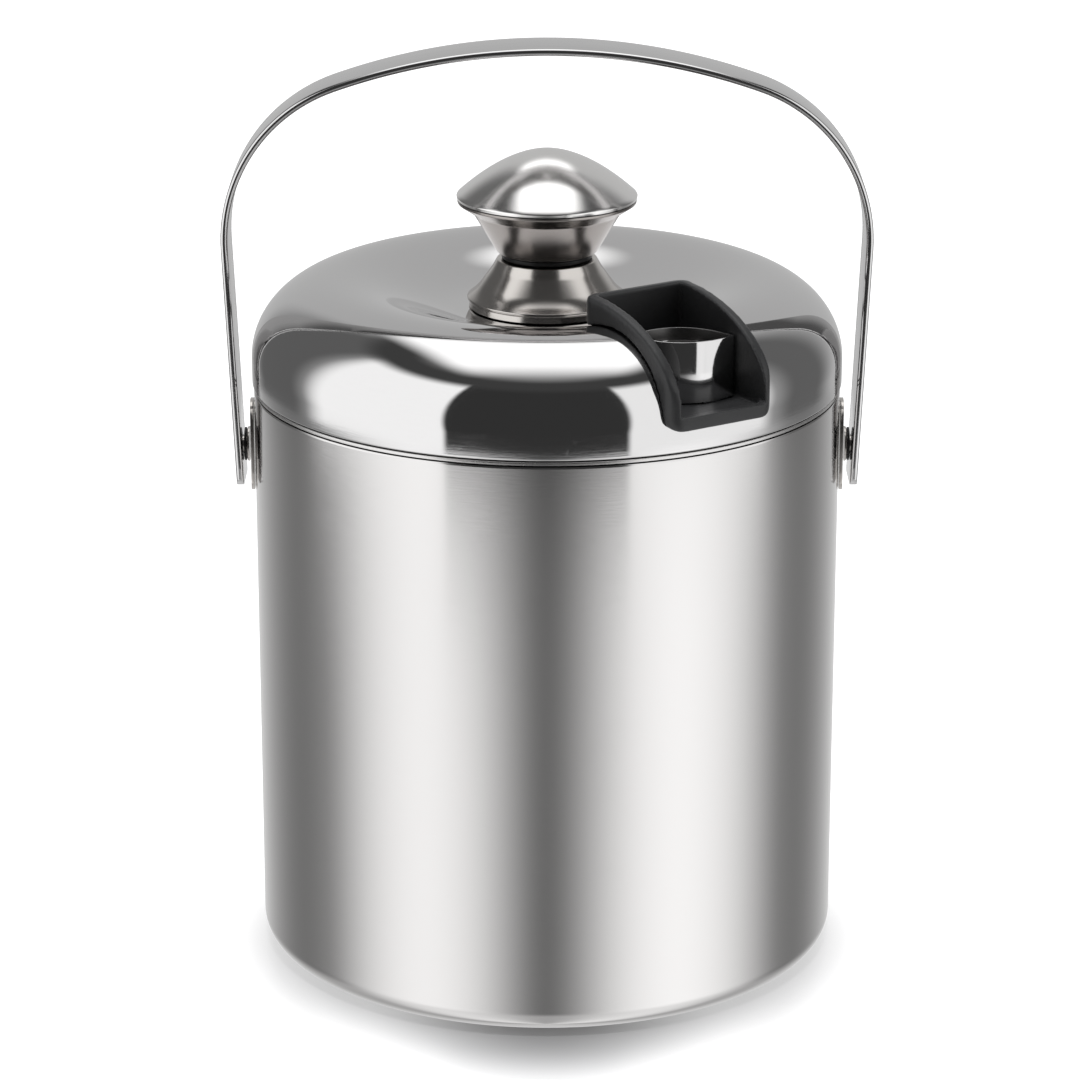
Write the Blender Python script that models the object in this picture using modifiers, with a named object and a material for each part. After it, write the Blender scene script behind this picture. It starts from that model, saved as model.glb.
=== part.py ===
"""Double-walled steel ice bucket with a bail, a domed lid and tongs kept in the lid.

Metres, +Z up. The origin is the centre of the base on the surface that it stands on.
The bail's pivots lie along X, and the front of the bucket faces -Y.
"""
import math

import bmesh
import bpy
from mathutils import Matrix, Vector

MM = 0.001
GAP = 0.3 * MM                      # between pieces that touch
SHEET = 0.8 * MM                    # steel sheet of the body, lid and knob

# Body
BODY_RADIUS = 70.0 * MM
BODY_HEIGHT = 140.0 * MM            # rim of the body, where the lid rests
BOTTOM_FILLET = 5.6 * MM
FOOT_INNER_RADIUS = 50.0 * MM       # inner edge of the in-turned foot
LINER_RADIUS = 65.0 * MM            # inside radius of the ice chamber
LINER_FLOOR = 6.0 * MM              # underside of the liner above the ground
LINER_FILLET = 9.0 * MM

# Bail and its pivots
PIVOT_HEIGHT = 123.5 * MM
BAIL_WIDTH = 15.0 * MM
BAIL_THICKNESS = 1.7 * MM
BAIL_TOP = 221.0 * MM
BAIL_TOP_RADIUS = 150.0 * MM
BAIL_CORNER_RADIUS = 40.0 * MM
BAIL_LEG_X = 74.65 * MM             # outer face of a leg at the pivot
BAIL_LEAN = math.radians(2.5)       # the legs spread towards the top
BAIL_TAIL = 8.7 * MM                # strip below the pivot
BAIL_END_ROUND = 2.5 * MM
EAR_WIDTH = 14.0 * MM
EAR_HEIGHT = 22.5 * MM
EAR_THICKNESS = 0.8 * MM
PIN_RADIUS = 2.0 * MM
PIN_FLANGE_RADIUS = 4.2 * MM
PIN_FLANGE_THICKNESS = 0.4 * MM
PIVOT_WASHER_THICKNESS = 0.5 * MM

# Lid: heights are above the rim of the body
LID_RADIUS = 70.4 * MM
LID_EDGE = 0.4 * MM
LID_SIDE = 6.2 * MM                 # top of the upright side
LID_CREST = 25.0 * MM
LID_CREST_RADIUS = 50.0 * MM
DISH_BOTTOM = 17.9 * MM
DISH_RADIUS = 19.5 * MM             # flat seat of the knob
PLUG_RADIUS = 64.4 * MM
PLUG_DEPTH = 8.4 * MM
PAN_FLANGE_RADIUS = 69.2 * MM
PLUG_FILLET = 2.0 * MM

# Knob: heights are above the rim of the body
FOOT_RADIUS = 19.0 * MM
FOOT_TOP = 29.6 * MM
NECK_RADIUS = 11.8 * MM
CONE_BOTTOM = 31.2 * MM
KNOB_CREASE = 43.9 * MM
KNOB_RADIUS = 21.4 * MM
KNOB_TOP = 55.8 * MM
CAP_CURVE = 1.8                     # exponent of the cap's crown
SCREW_RADIUS = 2.0 * MM
SCREW_HEAD_RADIUS = 4.0 * MM

# Tong holder: u runs outwards along its centre line, v across it
HOLDER_AZIMUTH = math.radians(33.0)  # from the front towards +X
HOLDER_HALF_WIDTH = 14.2 * MM
HOLDER_WALL = 2.7 * MM
HOLDER_BACK = 35.8 * MM
HOLDER_FRONT = 73.3 * MM
HOLDER_TOP = 30.6 * MM
HOLDER_LIP_BOTTOM = 6.0 * MM
HOLDER_LIP_TOP = 9.4 * MM
HOLDER_FLOOR = 8.2 * MM
HOLDER_FLOOR_THICKNESS = 1.6 * MM
HOLDER_BODY_INSET = 2.0 * MM        # the part inside the lid is narrower than the rim

# Tongs: they stand on the holder's floor, with the wide way of the head along X
TONGS_U = 54.3 * MM
TONGS_V = 1.0 * MM
HEAD_HALF_LENGTH = 12.2 * MM
HEAD_HALF_DEPTH = 6.9 * MM
HEAD_HEIGHT = 14.6 * MM
HEAD_SHEET = 0.6 * MM
LENS_CURVE = 2.2                    # exponent of the head's lens outline
ARM_HALF_WIDTH = 4.6 * MM
ARM_DEPTH = 4.6 * MM                # outer face of an arm below the head
ARM_CLEARANCE = 0.4 * MM            # between an arm and the head round it
ARM_SHEET = 0.9 * MM
ARM_LENGTH = 100.0 * MM             # below the holder's floor
ARM_TOP = 12.0 * MM                 # above the holder's floor
ARM_HINGE = 6.0 * MM                # where the head's spring wall flexes
CLAW_LENGTH = 16.0 * MM
CLAW_CURL = 1.0 * MM
CLAW_TEETH = 3
CLAW_TOOTH = 1.8 * MM               # height of a tooth
SLOT_HALF_LENGTH = 5.1 * MM
SLOT_HALF_DEPTH = 5.6 * MM
CHUTE_WALL = 1.1 * MM
CHUTE_CORNER = 2.4 * MM
COLLAR_FLANGE = 1.5 * MM
COLLAR_THICKNESS = 1.5 * MM

LARGE_TURN = 48                     # segments round the body and lid
SMALL_TURN = 24                     # segments round the knob
TINY_TURN = 16                      # segments round screws and pins

for leftover in list(bpy.data.objects):
    bpy.data.objects.remove(leftover, do_unlink=True)

parts = bpy.data.collections.new("ice_bucket")
cutters = bpy.data.collections.new("cutters")
bpy.context.scene.collection.children.link(parts)
bpy.context.scene.collection.children.link(cutters)


# ---------------------------------------------------------------- materials

def material(name, colour, roughness, metallic):
    made = bpy.data.materials.new(name)
    made.use_nodes = True
    shader = made.node_tree.nodes["Principled BSDF"]
    shader.inputs["Base Color"].default_value = (*colour, 1.0)
    shader.inputs["Roughness"].default_value = roughness
    shader.inputs["Metallic"].default_value = metallic
    return made


satin_steel = material("satin_steel", (0.62, 0.62, 0.63), 0.28, 1.0)
mirror_steel = material("mirror_steel", (0.72, 0.72, 0.72), 0.08, 1.0)
raw_steel = material("raw_steel", (0.55, 0.55, 0.56), 0.35, 1.0)
black_plastic = material("black_plastic", (0.025, 0.025, 0.027), 0.55, 0.0)
black_nylon = material("black_nylon", (0.02, 0.02, 0.02), 0.45, 0.0)
grey_silicone = material("grey_silicone", (0.55, 0.55, 0.55), 0.5, 0.0)


# ---------------------------------------------------------------- outlines

def rounded(corners, closed=False, step=math.radians(30.0)):
    """Points along corners (x, y, radius), each corner turned by an arc of its radius."""
    points = []
    count = len(corners)
    for index, (x, y, radius) in enumerate(corners):
        here = Vector((x, y))
        at_end = not closed and index in (0, count - 1)
        if at_end or radius <= 0.0:
            points.append(here)
            continue
        before = (Vector(corners[index - 1][:2]) - here).normalized()
        after = (Vector(corners[(index + 1) % count][:2]) - here).normalized()
        half = before.angle(after) / 2.0
        centre = here + (before + after).normalized() * (radius / math.sin(half))
        reach = radius / math.tan(half)
        start = here + before * reach - centre
        sweep = start.angle_signed(here + after * reach - centre)
        arcs = max(2, math.ceil(abs(sweep) / step))
        for number in range(arcs + 1):
            turn = Matrix.Rotation(-sweep * number / arcs, 2)
            points.append(centre + turn @ start)
    return points


def ellipse_arc(centre_x, centre_y, width, height, first, last, count):
    """Points on an ellipse from the angle first to last, in degrees from +x."""
    points = []
    for number in range(count + 1):
        angle = math.radians(first + (last - first) * number / count)
        points.append(Vector((centre_x + width * math.cos(angle),
                              centre_y + height * math.sin(angle))))
    return points


# ---------------------------------------------------------------- builders

def add_object(name, mesh, finish, collection=parts):
    made = bpy.data.objects.new(name, mesh)
    collection.objects.link(made)
    if finish:
        mesh.materials.append(finish)
    return made


def smooth(mesh, angle=35.0):
    mesh.shade_smooth()
    mesh.set_sharp_from_angle(angle=math.radians(angle))


def turned(name, outline, finish, segments, closed=False, wall=0.0, lift=0.0,
           collection=parts):
    """A turned piece: its outline (radius, height) runs down its outer side."""
    mesh = bpy.data.meshes.new(name)
    count = len(outline)
    edges = [(index, index + 1) for index in range(count - 1)]
    if closed:
        edges.append((count - 1, 0))
    mesh.from_pydata([(x, 0.0, y + lift) for x, y in outline], edges, [])
    made = add_object(name, mesh, finish, collection)
    spin = made.modifiers.new("turn", "SCREW")
    spin.axis = "Z"
    spin.steps = segments
    spin.render_steps = segments
    spin.use_merge_vertices = True
    spin.merge_threshold = 0.00001
    spin.use_smooth_shade = True
    if wall:
        sheet = made.modifiers.new("wall", "SOLIDIFY")
        sheet.thickness = wall
        sheet.offset = -1.0
        sheet.use_even_offset = True
    return made


def prism(name, outline, bottom, top, finish, collection=parts):
    """A flat outline in X and Y, upright between two heights."""
    mesh = bpy.data.meshes.new(name)
    shape = bmesh.new()
    ring = [shape.verts.new((x, y, bottom)) for x, y in outline]
    base = shape.faces.new(ring)
    raised = bmesh.ops.extrude_face_region(shape, geom=[base])
    lifted = [item for item in raised["geom"] if isinstance(item, bmesh.types.BMVert)]
    bmesh.ops.translate(shape, verts=lifted, vec=(0.0, 0.0, top - bottom))
    bmesh.ops.recalc_face_normals(shape, faces=shape.faces)
    shape.to_mesh(mesh)
    shape.free()
    return add_object(name, mesh, finish, collection)


def sheet_surface(name, rows, thickness, finish, offset=-1.0):
    """A sheet through rows of points, given its thickness by Solidify."""
    mesh = bpy.data.meshes.new(name)
    across = len(rows[0])
    faces = []
    for row in range(len(rows) - 1):
        for column in range(across - 1):
            first = row * across + column
            faces.append((first, first + 1, first + across + 1, first + across))
    mesh.from_pydata([point for row in rows for point in row], [], faces)
    made = add_object(name, mesh, finish)
    sheet = made.modifiers.new("thickness", "SOLIDIFY")
    sheet.thickness = thickness
    sheet.offset = offset
    sheet.use_even_offset = True
    return made


def combine(target, tool, operation="DIFFERENCE"):
    """Cuts or joins a tool, which stays in the cutters collection and isn't rendered."""
    tool.hide_render = True
    tool.display_type = "WIRE"
    joined = target.modifiers.new(operation.lower(), "BOOLEAN")
    joined.operation = operation
    joined.solver = "EXACT"
    joined.object = tool


def rectangle(half_x, half_y, corner, centre=(0.0, 0.0)):
    signs = ((1, 1), (-1, 1), (-1, -1), (1, -1))
    corners = [(centre[0] + half_x * sx, centre[1] + half_y * sy, corner) for sx, sy in signs]
    return rounded(corners, closed=True, step=math.radians(30.0))


def pivot_empty(name, place, parent=None):
    made = bpy.data.objects.new(name, None)
    made.empty_display_size = 0.01
    made.location = place
    parts.objects.link(made)
    hang(made, parent)
    return made


def hang(child, parent):
    """Parents a child and keeps it where it is."""
    if parent:
        bpy.context.view_layer.update()
        child.parent = parent
        child.matrix_parent_inverse = parent.matrix_world.inverted()


# ---------------------------------------------------------------- body

def make_body():
    top = BODY_HEIGHT - SHEET - GAP
    turned("outer_shell",
           rounded([(BODY_RADIUS, top, 0.0), (BODY_RADIUS, 0.0, BOTTOM_FILLET),
                    (FOOT_INNER_RADIUS, 0.0, 0.0)]),
           satin_steel, LARGE_TURN, wall=SHEET)

    lap = SHEET + GAP
    step_radius = FOOT_INNER_RADIUS - 4.0 * MM
    turned("base_disc",
           [Vector(point) for point in (
               (FOOT_INNER_RADIUS + 4.0 * MM, lap), (step_radius, lap),
               (step_radius - 1.5 * MM, lap + 1.5 * MM), (0.0, lap + 1.5 * MM))],
           satin_steel, 48, wall=SHEET)

    # The liner's outline runs down its chamber side, so its wall grows outwards.
    turned("inner_liner",
           rounded([(BODY_RADIUS - 0.1 * MM, BODY_HEIGHT, 0.0),
                    (LINER_RADIUS, BODY_HEIGHT, 1.0 * MM),
                    (LINER_RADIUS, LINER_FLOOR + SHEET, LINER_FILLET),
                    (0.0, LINER_FLOOR + SHEET, 0.0)]),
           satin_steel, LARGE_TURN, wall=-SHEET)


# ---------------------------------------------------------------- bail

def bail_outline():
    """Outer face of the bail from its right tail, over the top, to the crown."""
    lean = math.tan(BAIL_LEAN)
    top_centre = Vector((0.0, BAIL_TOP - BAIL_TOP_RADIUS))
    inward = Vector((-math.cos(BAIL_LEAN), math.sin(BAIL_LEAN)))
    reach = BAIL_TOP_RADIUS - BAIL_CORNER_RADIUS

    def leg_point(height):
        return Vector((BAIL_LEG_X + (height - PIVOT_HEIGHT) * lean, height))

    low, high = PIVOT_HEIGHT, BAIL_TOP
    for _ in range(50):
        middle = (low + high) / 2.0
        corner_centre = leg_point(middle) + inward * BAIL_CORNER_RADIUS
        if (corner_centre - top_centre).length > reach:
            high = middle
        else:
            low = middle
    tangent = leg_point(low)
    corner_centre = tangent + inward * BAIL_CORNER_RADIUS

    points = [leg_point(PIVOT_HEIGHT - BAIL_TAIL)]
    points.append(leg_point(PIVOT_HEIGHT - BAIL_TAIL + 0.3 * BAIL_END_ROUND))
    points.append(leg_point(PIVOT_HEIGHT - BAIL_TAIL + BAIL_END_ROUND))
    points.append(leg_point(PIVOT_HEIGHT + 7.0 * MM))
    first = -BAIL_LEAN
    away = corner_centre - top_centre
    last = math.atan2(away.y, away.x)
    for number in range(9):
        angle = first + (last - first) * number / 8
        points.append(corner_centre + BAIL_CORNER_RADIUS
                      * Vector((math.cos(angle), math.sin(angle))))
    for number in range(1, 7):
        angle = last + (math.pi / 2.0 - last) * number / 6
        points.append(top_centre + BAIL_TOP_RADIUS
                      * Vector((math.cos(angle), math.sin(angle))))
    return points


def make_bail():
    swing = pivot_empty("bail_axis", (0.0, 0.0, PIVOT_HEIGHT))
    half = bail_outline()
    path = half + [Vector((-point.x, point.y)) for point in reversed(half[:-1])]
    tail_insets = {0: BAIL_END_ROUND, 1: 0.3 * BAIL_END_ROUND}
    rows = []
    for index, (x, z) in enumerate(path):
        from_end = min(index, len(path) - 1 - index)
        edge = BAIL_WIDTH / 2.0 - tail_insets.get(from_end, 0.0)
        rows.append([(x, y, z) for y in (-edge, 0.0, edge)])
    strip = sheet_surface("bail_strip", rows, BAIL_THICKNESS, mirror_steel, offset=-1.0)

    for side, sign in (("left", -1), ("right", 1)):
        hole = turned(f"bail_hole_{side}",
                      [Vector((0.0, 6.0 * MM)), Vector((PIN_RADIUS + GAP, 6.0 * MM)),
                       Vector((PIN_RADIUS + GAP, -6.0 * MM)), Vector((0.0, -6.0 * MM))],
                      None, TINY_TURN, collection=cutters)
        hole.rotation_euler = (0.0, math.radians(90.0), 0.0)
        hole.location = (sign * BAIL_LEG_X, 0.0, PIVOT_HEIGHT)
        combine(strip, hole)
    hang(strip, swing)

    for side, sign in (("left", -1), ("right", 1)):
        make_pivot(side, sign, swing)


def make_pivot(side, sign, swing):
    """Ear on the shell, flanged pin through the bail, and a washer between them."""
    ear_inner = BODY_RADIUS + GAP
    ear_outer = ear_inner + EAR_THICKNESS
    ear = turned(f"ear_plate_{side}",
                 [Vector(point) for point in (
                     (ear_outer, EAR_HEIGHT), (ear_outer, -EAR_HEIGHT),
                     (ear_inner, -EAR_HEIGHT), (ear_inner, EAR_HEIGHT))],
                 mirror_steel, LARGE_TURN * 2, closed=True, lift=PIVOT_HEIGHT)
    blank = prism(f"ear_blank_{side}",
                  rectangle(EAR_HEIGHT / 2.0, EAR_WIDTH / 2.0, EAR_WIDTH / 2.0 - 0.1 * MM),
                  -10.0 * MM, 10.0 * MM, None, cutters)
    blank.rotation_euler = (0.0, math.radians(90.0), 0.0)
    blank.location = (sign * BODY_RADIUS, 0.0, PIVOT_HEIGHT)
    combine(ear, blank, "INTERSECT")

    flange_start = ear_outer + GAP
    flange_end = flange_start + PIN_FLANGE_THICKNESS
    pin_end = BAIL_LEG_X + 0.3 * MM
    pin = turned(f"pivot_pin_{side}",
                 [Vector(point) for point in (
                     (0.0, pin_end), (PIN_RADIUS - 0.3 * MM, pin_end),
                     (PIN_RADIUS, pin_end - 0.3 * MM), (PIN_RADIUS, flange_end),
                     (PIN_FLANGE_RADIUS - 0.3 * MM, flange_end),
                     (PIN_FLANGE_RADIUS, flange_start), (0.0, flange_start))],
                 mirror_steel, TINY_TURN)
    washer_start = flange_end + GAP
    washer_end = washer_start + PIVOT_WASHER_THICKNESS
    washer_outer = PIN_FLANGE_RADIUS - 0.2 * MM
    washer = turned(f"pivot_washer_{side}",
                    [Vector(point) for point in (
                        (washer_outer, washer_end), (washer_outer, washer_start),
                        (PIN_RADIUS + GAP, washer_start), (PIN_RADIUS + GAP, washer_end))],
                    black_nylon, TINY_TURN, closed=True)
    for piece in (pin, washer):
        piece.rotation_euler = (0.0, math.radians(90.0 * sign), 0.0)
        piece.location = (0.0, 0.0, PIVOT_HEIGHT)
    hang(washer, swing)


# ---------------------------------------------------------------- lid

def dome_outline():
    """Outside of the lid from the knob's seat, over the crest, down to the edge."""
    points = [Vector((SCREW_RADIUS + GAP, DISH_BOTTOM))]
    rise = LID_CREST - DISH_BOTTOM
    span = LID_CREST_RADIUS - DISH_RADIUS
    for number in range(7):
        part = number / 6
        points.append(Vector((DISH_RADIUS + span * part,
                              DISH_BOTTOM + rise * (0.5 - 0.5 * math.cos(math.pi * part)))))
    points += ellipse_arc(LID_CREST_RADIUS, LID_SIDE, LID_RADIUS - LID_CREST_RADIUS,
                          LID_CREST - LID_SIDE, 90.0, 0.0, 9)[1:]
    points.append(Vector((LID_RADIUS, LID_EDGE)))
    return points


def holder_frame():
    """Turns the holder's own u, v and height into the world."""
    return (Matrix.Translation((0.0, 0.0, BODY_HEIGHT))
            @ Matrix.Rotation(HOLDER_AZIMUTH - math.pi / 2.0, 4, "Z"))


def holder_block(name, half_width, side_outline, finish=None, collection=cutters, cut_round=0.0):
    """A side outline (u, height) drawn across the holder's width."""
    made = prism(name, side_outline, -half_width, half_width, finish, collection)
    made.data.transform(holder_frame() @ Matrix.Rotation(math.pi / 2.0, 4, "X"))
    if cut_round:
        edge = made.modifiers.new("edge", "BEVEL")
        edge.width = cut_round
        edge.segments = 2
        edge.limit_method = "ANGLE"
        edge.angle_limit = math.radians(60.0)
    return made


def tongs_place():
    turn = holder_frame()
    return turn @ Vector((TONGS_U, TONGS_V, HOLDER_FLOOR))


def make_lid(lift_axis):
    dome = turned("lid_dome", dome_outline(), mirror_steel, LARGE_TURN, wall=SHEET,
                  lift=BODY_HEIGHT)
    window_inset = HOLDER_BODY_INSET - GAP
    window = holder_block(
        "lid_window", HOLDER_HALF_WIDTH - window_inset,
        [Vector(point) for point in (
            (HOLDER_BACK + window_inset, 60.0 * MM), (HOLDER_BACK + window_inset, -20.0 * MM),
            (LID_RADIUS - 5.0 * MM, -20.0 * MM),
            (LID_RADIUS - 5.0 * MM, HOLDER_LIP_BOTTOM + GAP * 2.0),
            (90.0 * MM, HOLDER_LIP_BOTTOM + GAP * 2.0), (90.0 * MM, 60.0 * MM))])
    combine(dome, window)
    hang(dome, lift_axis)

    pan = turned("lid_inner_pan",
                 rounded([(SCREW_RADIUS + GAP, -PLUG_DEPTH, 0.0),
                          (PLUG_RADIUS, -PLUG_DEPTH, PLUG_FILLET),
                          (PLUG_RADIUS, LID_EDGE, 1.0 * MM),
                          (PAN_FLANGE_RADIUS, LID_EDGE, 0.0)])[::-1],
                 satin_steel, LARGE_TURN, wall=SHEET, lift=BODY_HEIGHT)
    place = tongs_place()
    chute_x = SLOT_HALF_LENGTH + CHUTE_WALL
    chute_y = SLOT_HALF_DEPTH + CHUTE_WALL
    opening = prism("pan_window",
                    rectangle(chute_x + GAP, chute_y + GAP, CHUTE_CORNER + GAP, place.xy),
                    BODY_HEIGHT - 2.0 * PLUG_DEPTH, BODY_HEIGHT, None, cutters)
    combine(pan, opening)
    hang(pan, lift_axis)

    collar = prism("holder_collar",
                   rectangle(chute_x + GAP + COLLAR_FLANGE, chute_y + GAP + COLLAR_FLANGE,
                             CHUTE_CORNER + COLLAR_FLANGE, place.xy),
                   BODY_HEIGHT - PLUG_DEPTH - GAP - COLLAR_THICKNESS,
                   BODY_HEIGHT - PLUG_DEPTH - GAP, black_plastic)
    bore = prism("collar_bore",
                 rectangle(chute_x + GAP, chute_y + GAP, CHUTE_CORNER + GAP, place.xy),
                 BODY_HEIGHT - 3.0 * PLUG_DEPTH, BODY_HEIGHT, None, cutters)
    combine(collar, bore)
    hang(collar, lift_axis)


# ---------------------------------------------------------------- knob

def make_knob(lift_axis):
    foot_bottom = DISH_BOTTOM + GAP
    foot_edge = foot_bottom + 2.2 * MM
    foot = rounded([(SCREW_RADIUS + GAP, FOOT_TOP, 0.0), (NECK_RADIUS, FOOT_TOP, 0.0),
                    (NECK_RADIUS + 1.2 * MM, FOOT_TOP - 2.2 * MM, 9.0 * MM),
                    (FOOT_RADIUS - 2.2 * MM, foot_edge + 1.7 * MM, 12.0 * MM),
                    (FOOT_RADIUS, foot_edge, 0.0), (FOOT_RADIUS, foot_edge - 0.6 * MM, 0.0),
                    (FOOT_RADIUS - 0.6 * MM, foot_bottom, 0.0)], step=math.radians(15.0))
    knob_foot = turned("knob_foot", foot, mirror_steel, SMALL_TURN, wall=SHEET,
                       lift=BODY_HEIGHT)

    gasket_radius = NECK_RADIUS - 1.0 * MM
    gasket = turned("knob_gasket",
                    [Vector(point) for point in (
                        (gasket_radius, CONE_BOTTOM - GAP), (gasket_radius, FOOT_TOP + GAP),
                        (SCREW_RADIUS + GAP, FOOT_TOP + GAP),
                        (SCREW_RADIUS + GAP, CONE_BOTTOM - GAP))],
                    black_nylon, SMALL_TURN, closed=True, lift=BODY_HEIGHT)

    cone = turned("knob_cone",
                  rounded([(KNOB_RADIUS - 0.2 * MM, KNOB_CREASE, 0.0),
                           (KNOB_RADIUS - 0.2 * MM, KNOB_CREASE - 0.6 * MM, 0.0),
                           (17.6 * MM, 40.9 * MM, 2.5 * MM),
                           (NECK_RADIUS, CONE_BOTTOM, 0.8 * MM),
                           (SCREW_RADIUS + GAP, CONE_BOTTOM, 0.0)], step=math.radians(15.0)),
                  mirror_steel, SMALL_TURN, wall=SHEET, lift=BODY_HEIGHT)

    cap_edge = KNOB_CREASE + GAP
    crown_start = cap_edge + 0.6 * MM
    crown = []
    for number in range(10):
        part = number / 9
        crown.append(Vector((KNOB_RADIUS * part, crown_start + (KNOB_TOP - crown_start)
                             * (1.0 - part ** CAP_CURVE))))
    crown.append(Vector((KNOB_RADIUS - 0.1 * MM, cap_edge)))
    cap = turned("knob_cap", crown, mirror_steel, SMALL_TURN, wall=SHEET, lift=BODY_HEIGHT)

    nut_bottom = CONE_BOTTOM + SHEET + GAP
    nut_height = 4.0 * MM
    nut = turned("knob_nut",
                 [Vector(point) for point in (
                     (4.2 * MM, nut_bottom + nut_height), (4.2 * MM, nut_bottom),
                     (SCREW_RADIUS + GAP, nut_bottom),
                     (SCREW_RADIUS + GAP, nut_bottom + nut_height))],
                 raw_steel, 6, closed=True, lift=BODY_HEIGHT)

    sleeve_bottom = -PLUG_DEPTH + SHEET + GAP
    sleeve_top = DISH_BOTTOM - SHEET - GAP
    sleeve = turned("spacer_sleeve",
                    [Vector(point) for point in (
                        (4.0 * MM, sleeve_top), (4.0 * MM, sleeve_bottom),
                        (SCREW_RADIUS + GAP, sleeve_bottom),
                        (SCREW_RADIUS + GAP, sleeve_top))],
                    raw_steel, TINY_TURN, closed=True, lift=BODY_HEIGHT)

    washer_top = -PLUG_DEPTH - GAP
    washer_bottom = washer_top - 0.8 * MM
    washer = turned("knob_screw_washer",
                    [Vector(point) for point in (
                        (5.5 * MM, washer_top), (5.5 * MM, washer_bottom),
                        (SCREW_RADIUS + GAP, washer_bottom),
                        (SCREW_RADIUS + GAP, washer_top))],
                    grey_silicone, TINY_TURN, closed=True, lift=BODY_HEIGHT)

    head_top = washer_bottom - GAP
    screw = turned("knob_screw",
                   [Vector((0.0, nut_bottom + nut_height + 1.0 * MM)),
                    Vector((SCREW_RADIUS, nut_bottom + nut_height + 1.0 * MM)),
                    Vector((SCREW_RADIUS, head_top)),
                    Vector((SCREW_HEAD_RADIUS, head_top))]
                   + ellipse_arc(0.0, head_top - 0.6 * MM, SCREW_HEAD_RADIUS, 1.6 * MM,
                                 0.0, -90.0, 4),
                   raw_steel, TINY_TURN, lift=BODY_HEIGHT)
    for piece in (knob_foot, gasket, cone, cap, nut, sleeve, washer, screw):
        hang(piece, lift_axis)


# ---------------------------------------------------------------- tong holder

def holder_side(back, front, top, bottom, lip_top):
    """Side outline of the holder: back wall, curved saddle and front lip."""
    saddle = ellipse_arc(back + 2.0 * MM, lip_top, front - back - 2.0 * MM, top - lip_top,
                         0.0, 90.0, 10)
    return ([Vector((back, bottom)), Vector((front, bottom))] + saddle
            + [Vector((back, top - 0.4 * MM))])


def make_holder(lift_axis):
    floor_bottom = HOLDER_FLOOR - HOLDER_FLOOR_THICKNESS
    holder = holder_block("tong_holder", HOLDER_HALF_WIDTH,
                          holder_side(HOLDER_BACK, HOLDER_FRONT, HOLDER_TOP,
                                      HOLDER_LIP_BOTTOM, HOLDER_LIP_TOP + 1.0 * MM),
                          black_plastic, parts, cut_round=1.0 * MM)

    # The rim lies on the lid, so the dome's outside is cut from it.
    under_dome = [Vector((0.0, DISH_BOTTOM + GAP))]
    for radius, height in dome_outline()[1:]:
        grow = GAP if height > LID_SIDE else 0.0
        under_dome.append(Vector((radius + GAP, height + grow)))
    under_dome += [Vector((LID_RADIUS + GAP, -20.0 * MM)), Vector((0.0, -20.0 * MM))]
    bed = turned("dome_bed", under_dome, None, LARGE_TURN, lift=BODY_HEIGHT, collection=cutters)
    combine(holder, bed)

    body = holder_block("holder_body", HOLDER_HALF_WIDTH - HOLDER_BODY_INSET,
                        holder_side(HOLDER_BACK + HOLDER_BODY_INSET, HOLDER_FRONT - 1.0 * MM,
                                    HOLDER_TOP - 1.0 * MM, floor_bottom,
                                    HOLDER_LIP_TOP + 0.5 * MM))
    combine(holder, body, "UNION")

    place = tongs_place()
    chute = prism("holder_chute",
                  rectangle(SLOT_HALF_LENGTH + CHUTE_WALL, SLOT_HALF_DEPTH + CHUTE_WALL,
                            CHUTE_CORNER, place.xy),
                  BODY_HEIGHT - PLUG_DEPTH - GAP - COLLAR_THICKNESS,
                  BODY_HEIGHT + HOLDER_FLOOR - 0.5 * MM, None, cutters)
    combine(holder, chute, "UNION")

    inner_back = HOLDER_BACK + HOLDER_WALL + 0.4 * MM
    inner_front = HOLDER_FRONT - HOLDER_WALL
    recess = holder_block(
        "holder_recess", HOLDER_HALF_WIDTH - HOLDER_WALL,
        [Vector(point) for point in (
            (inner_back, 60.0 * MM), (inner_back, HOLDER_FLOOR), (inner_front, HOLDER_FLOOR),
            (inner_front, HOLDER_LIP_TOP), (90.0 * MM, HOLDER_LIP_TOP), (90.0 * MM, 60.0 * MM))])
    combine(holder, recess)
    slot = prism("holder_slot",
                 rectangle(SLOT_HALF_LENGTH, SLOT_HALF_DEPTH, 1.0 * MM, place.xy),
                 BODY_HEIGHT - 3.0 * PLUG_DEPTH, BODY_HEIGHT + HOLDER_FLOOR + 10.0 * MM,
                 None, cutters)
    combine(holder, slot)
    hang(holder, lift_axis)


# ---------------------------------------------------------------- tongs

def lens_depth(x, half_depth, half_length=HEAD_HALF_LENGTH):
    """Half depth of the head's lens at a place along its length."""
    return half_depth * (1.0 - (abs(x) / half_length) ** LENS_CURVE)


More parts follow.
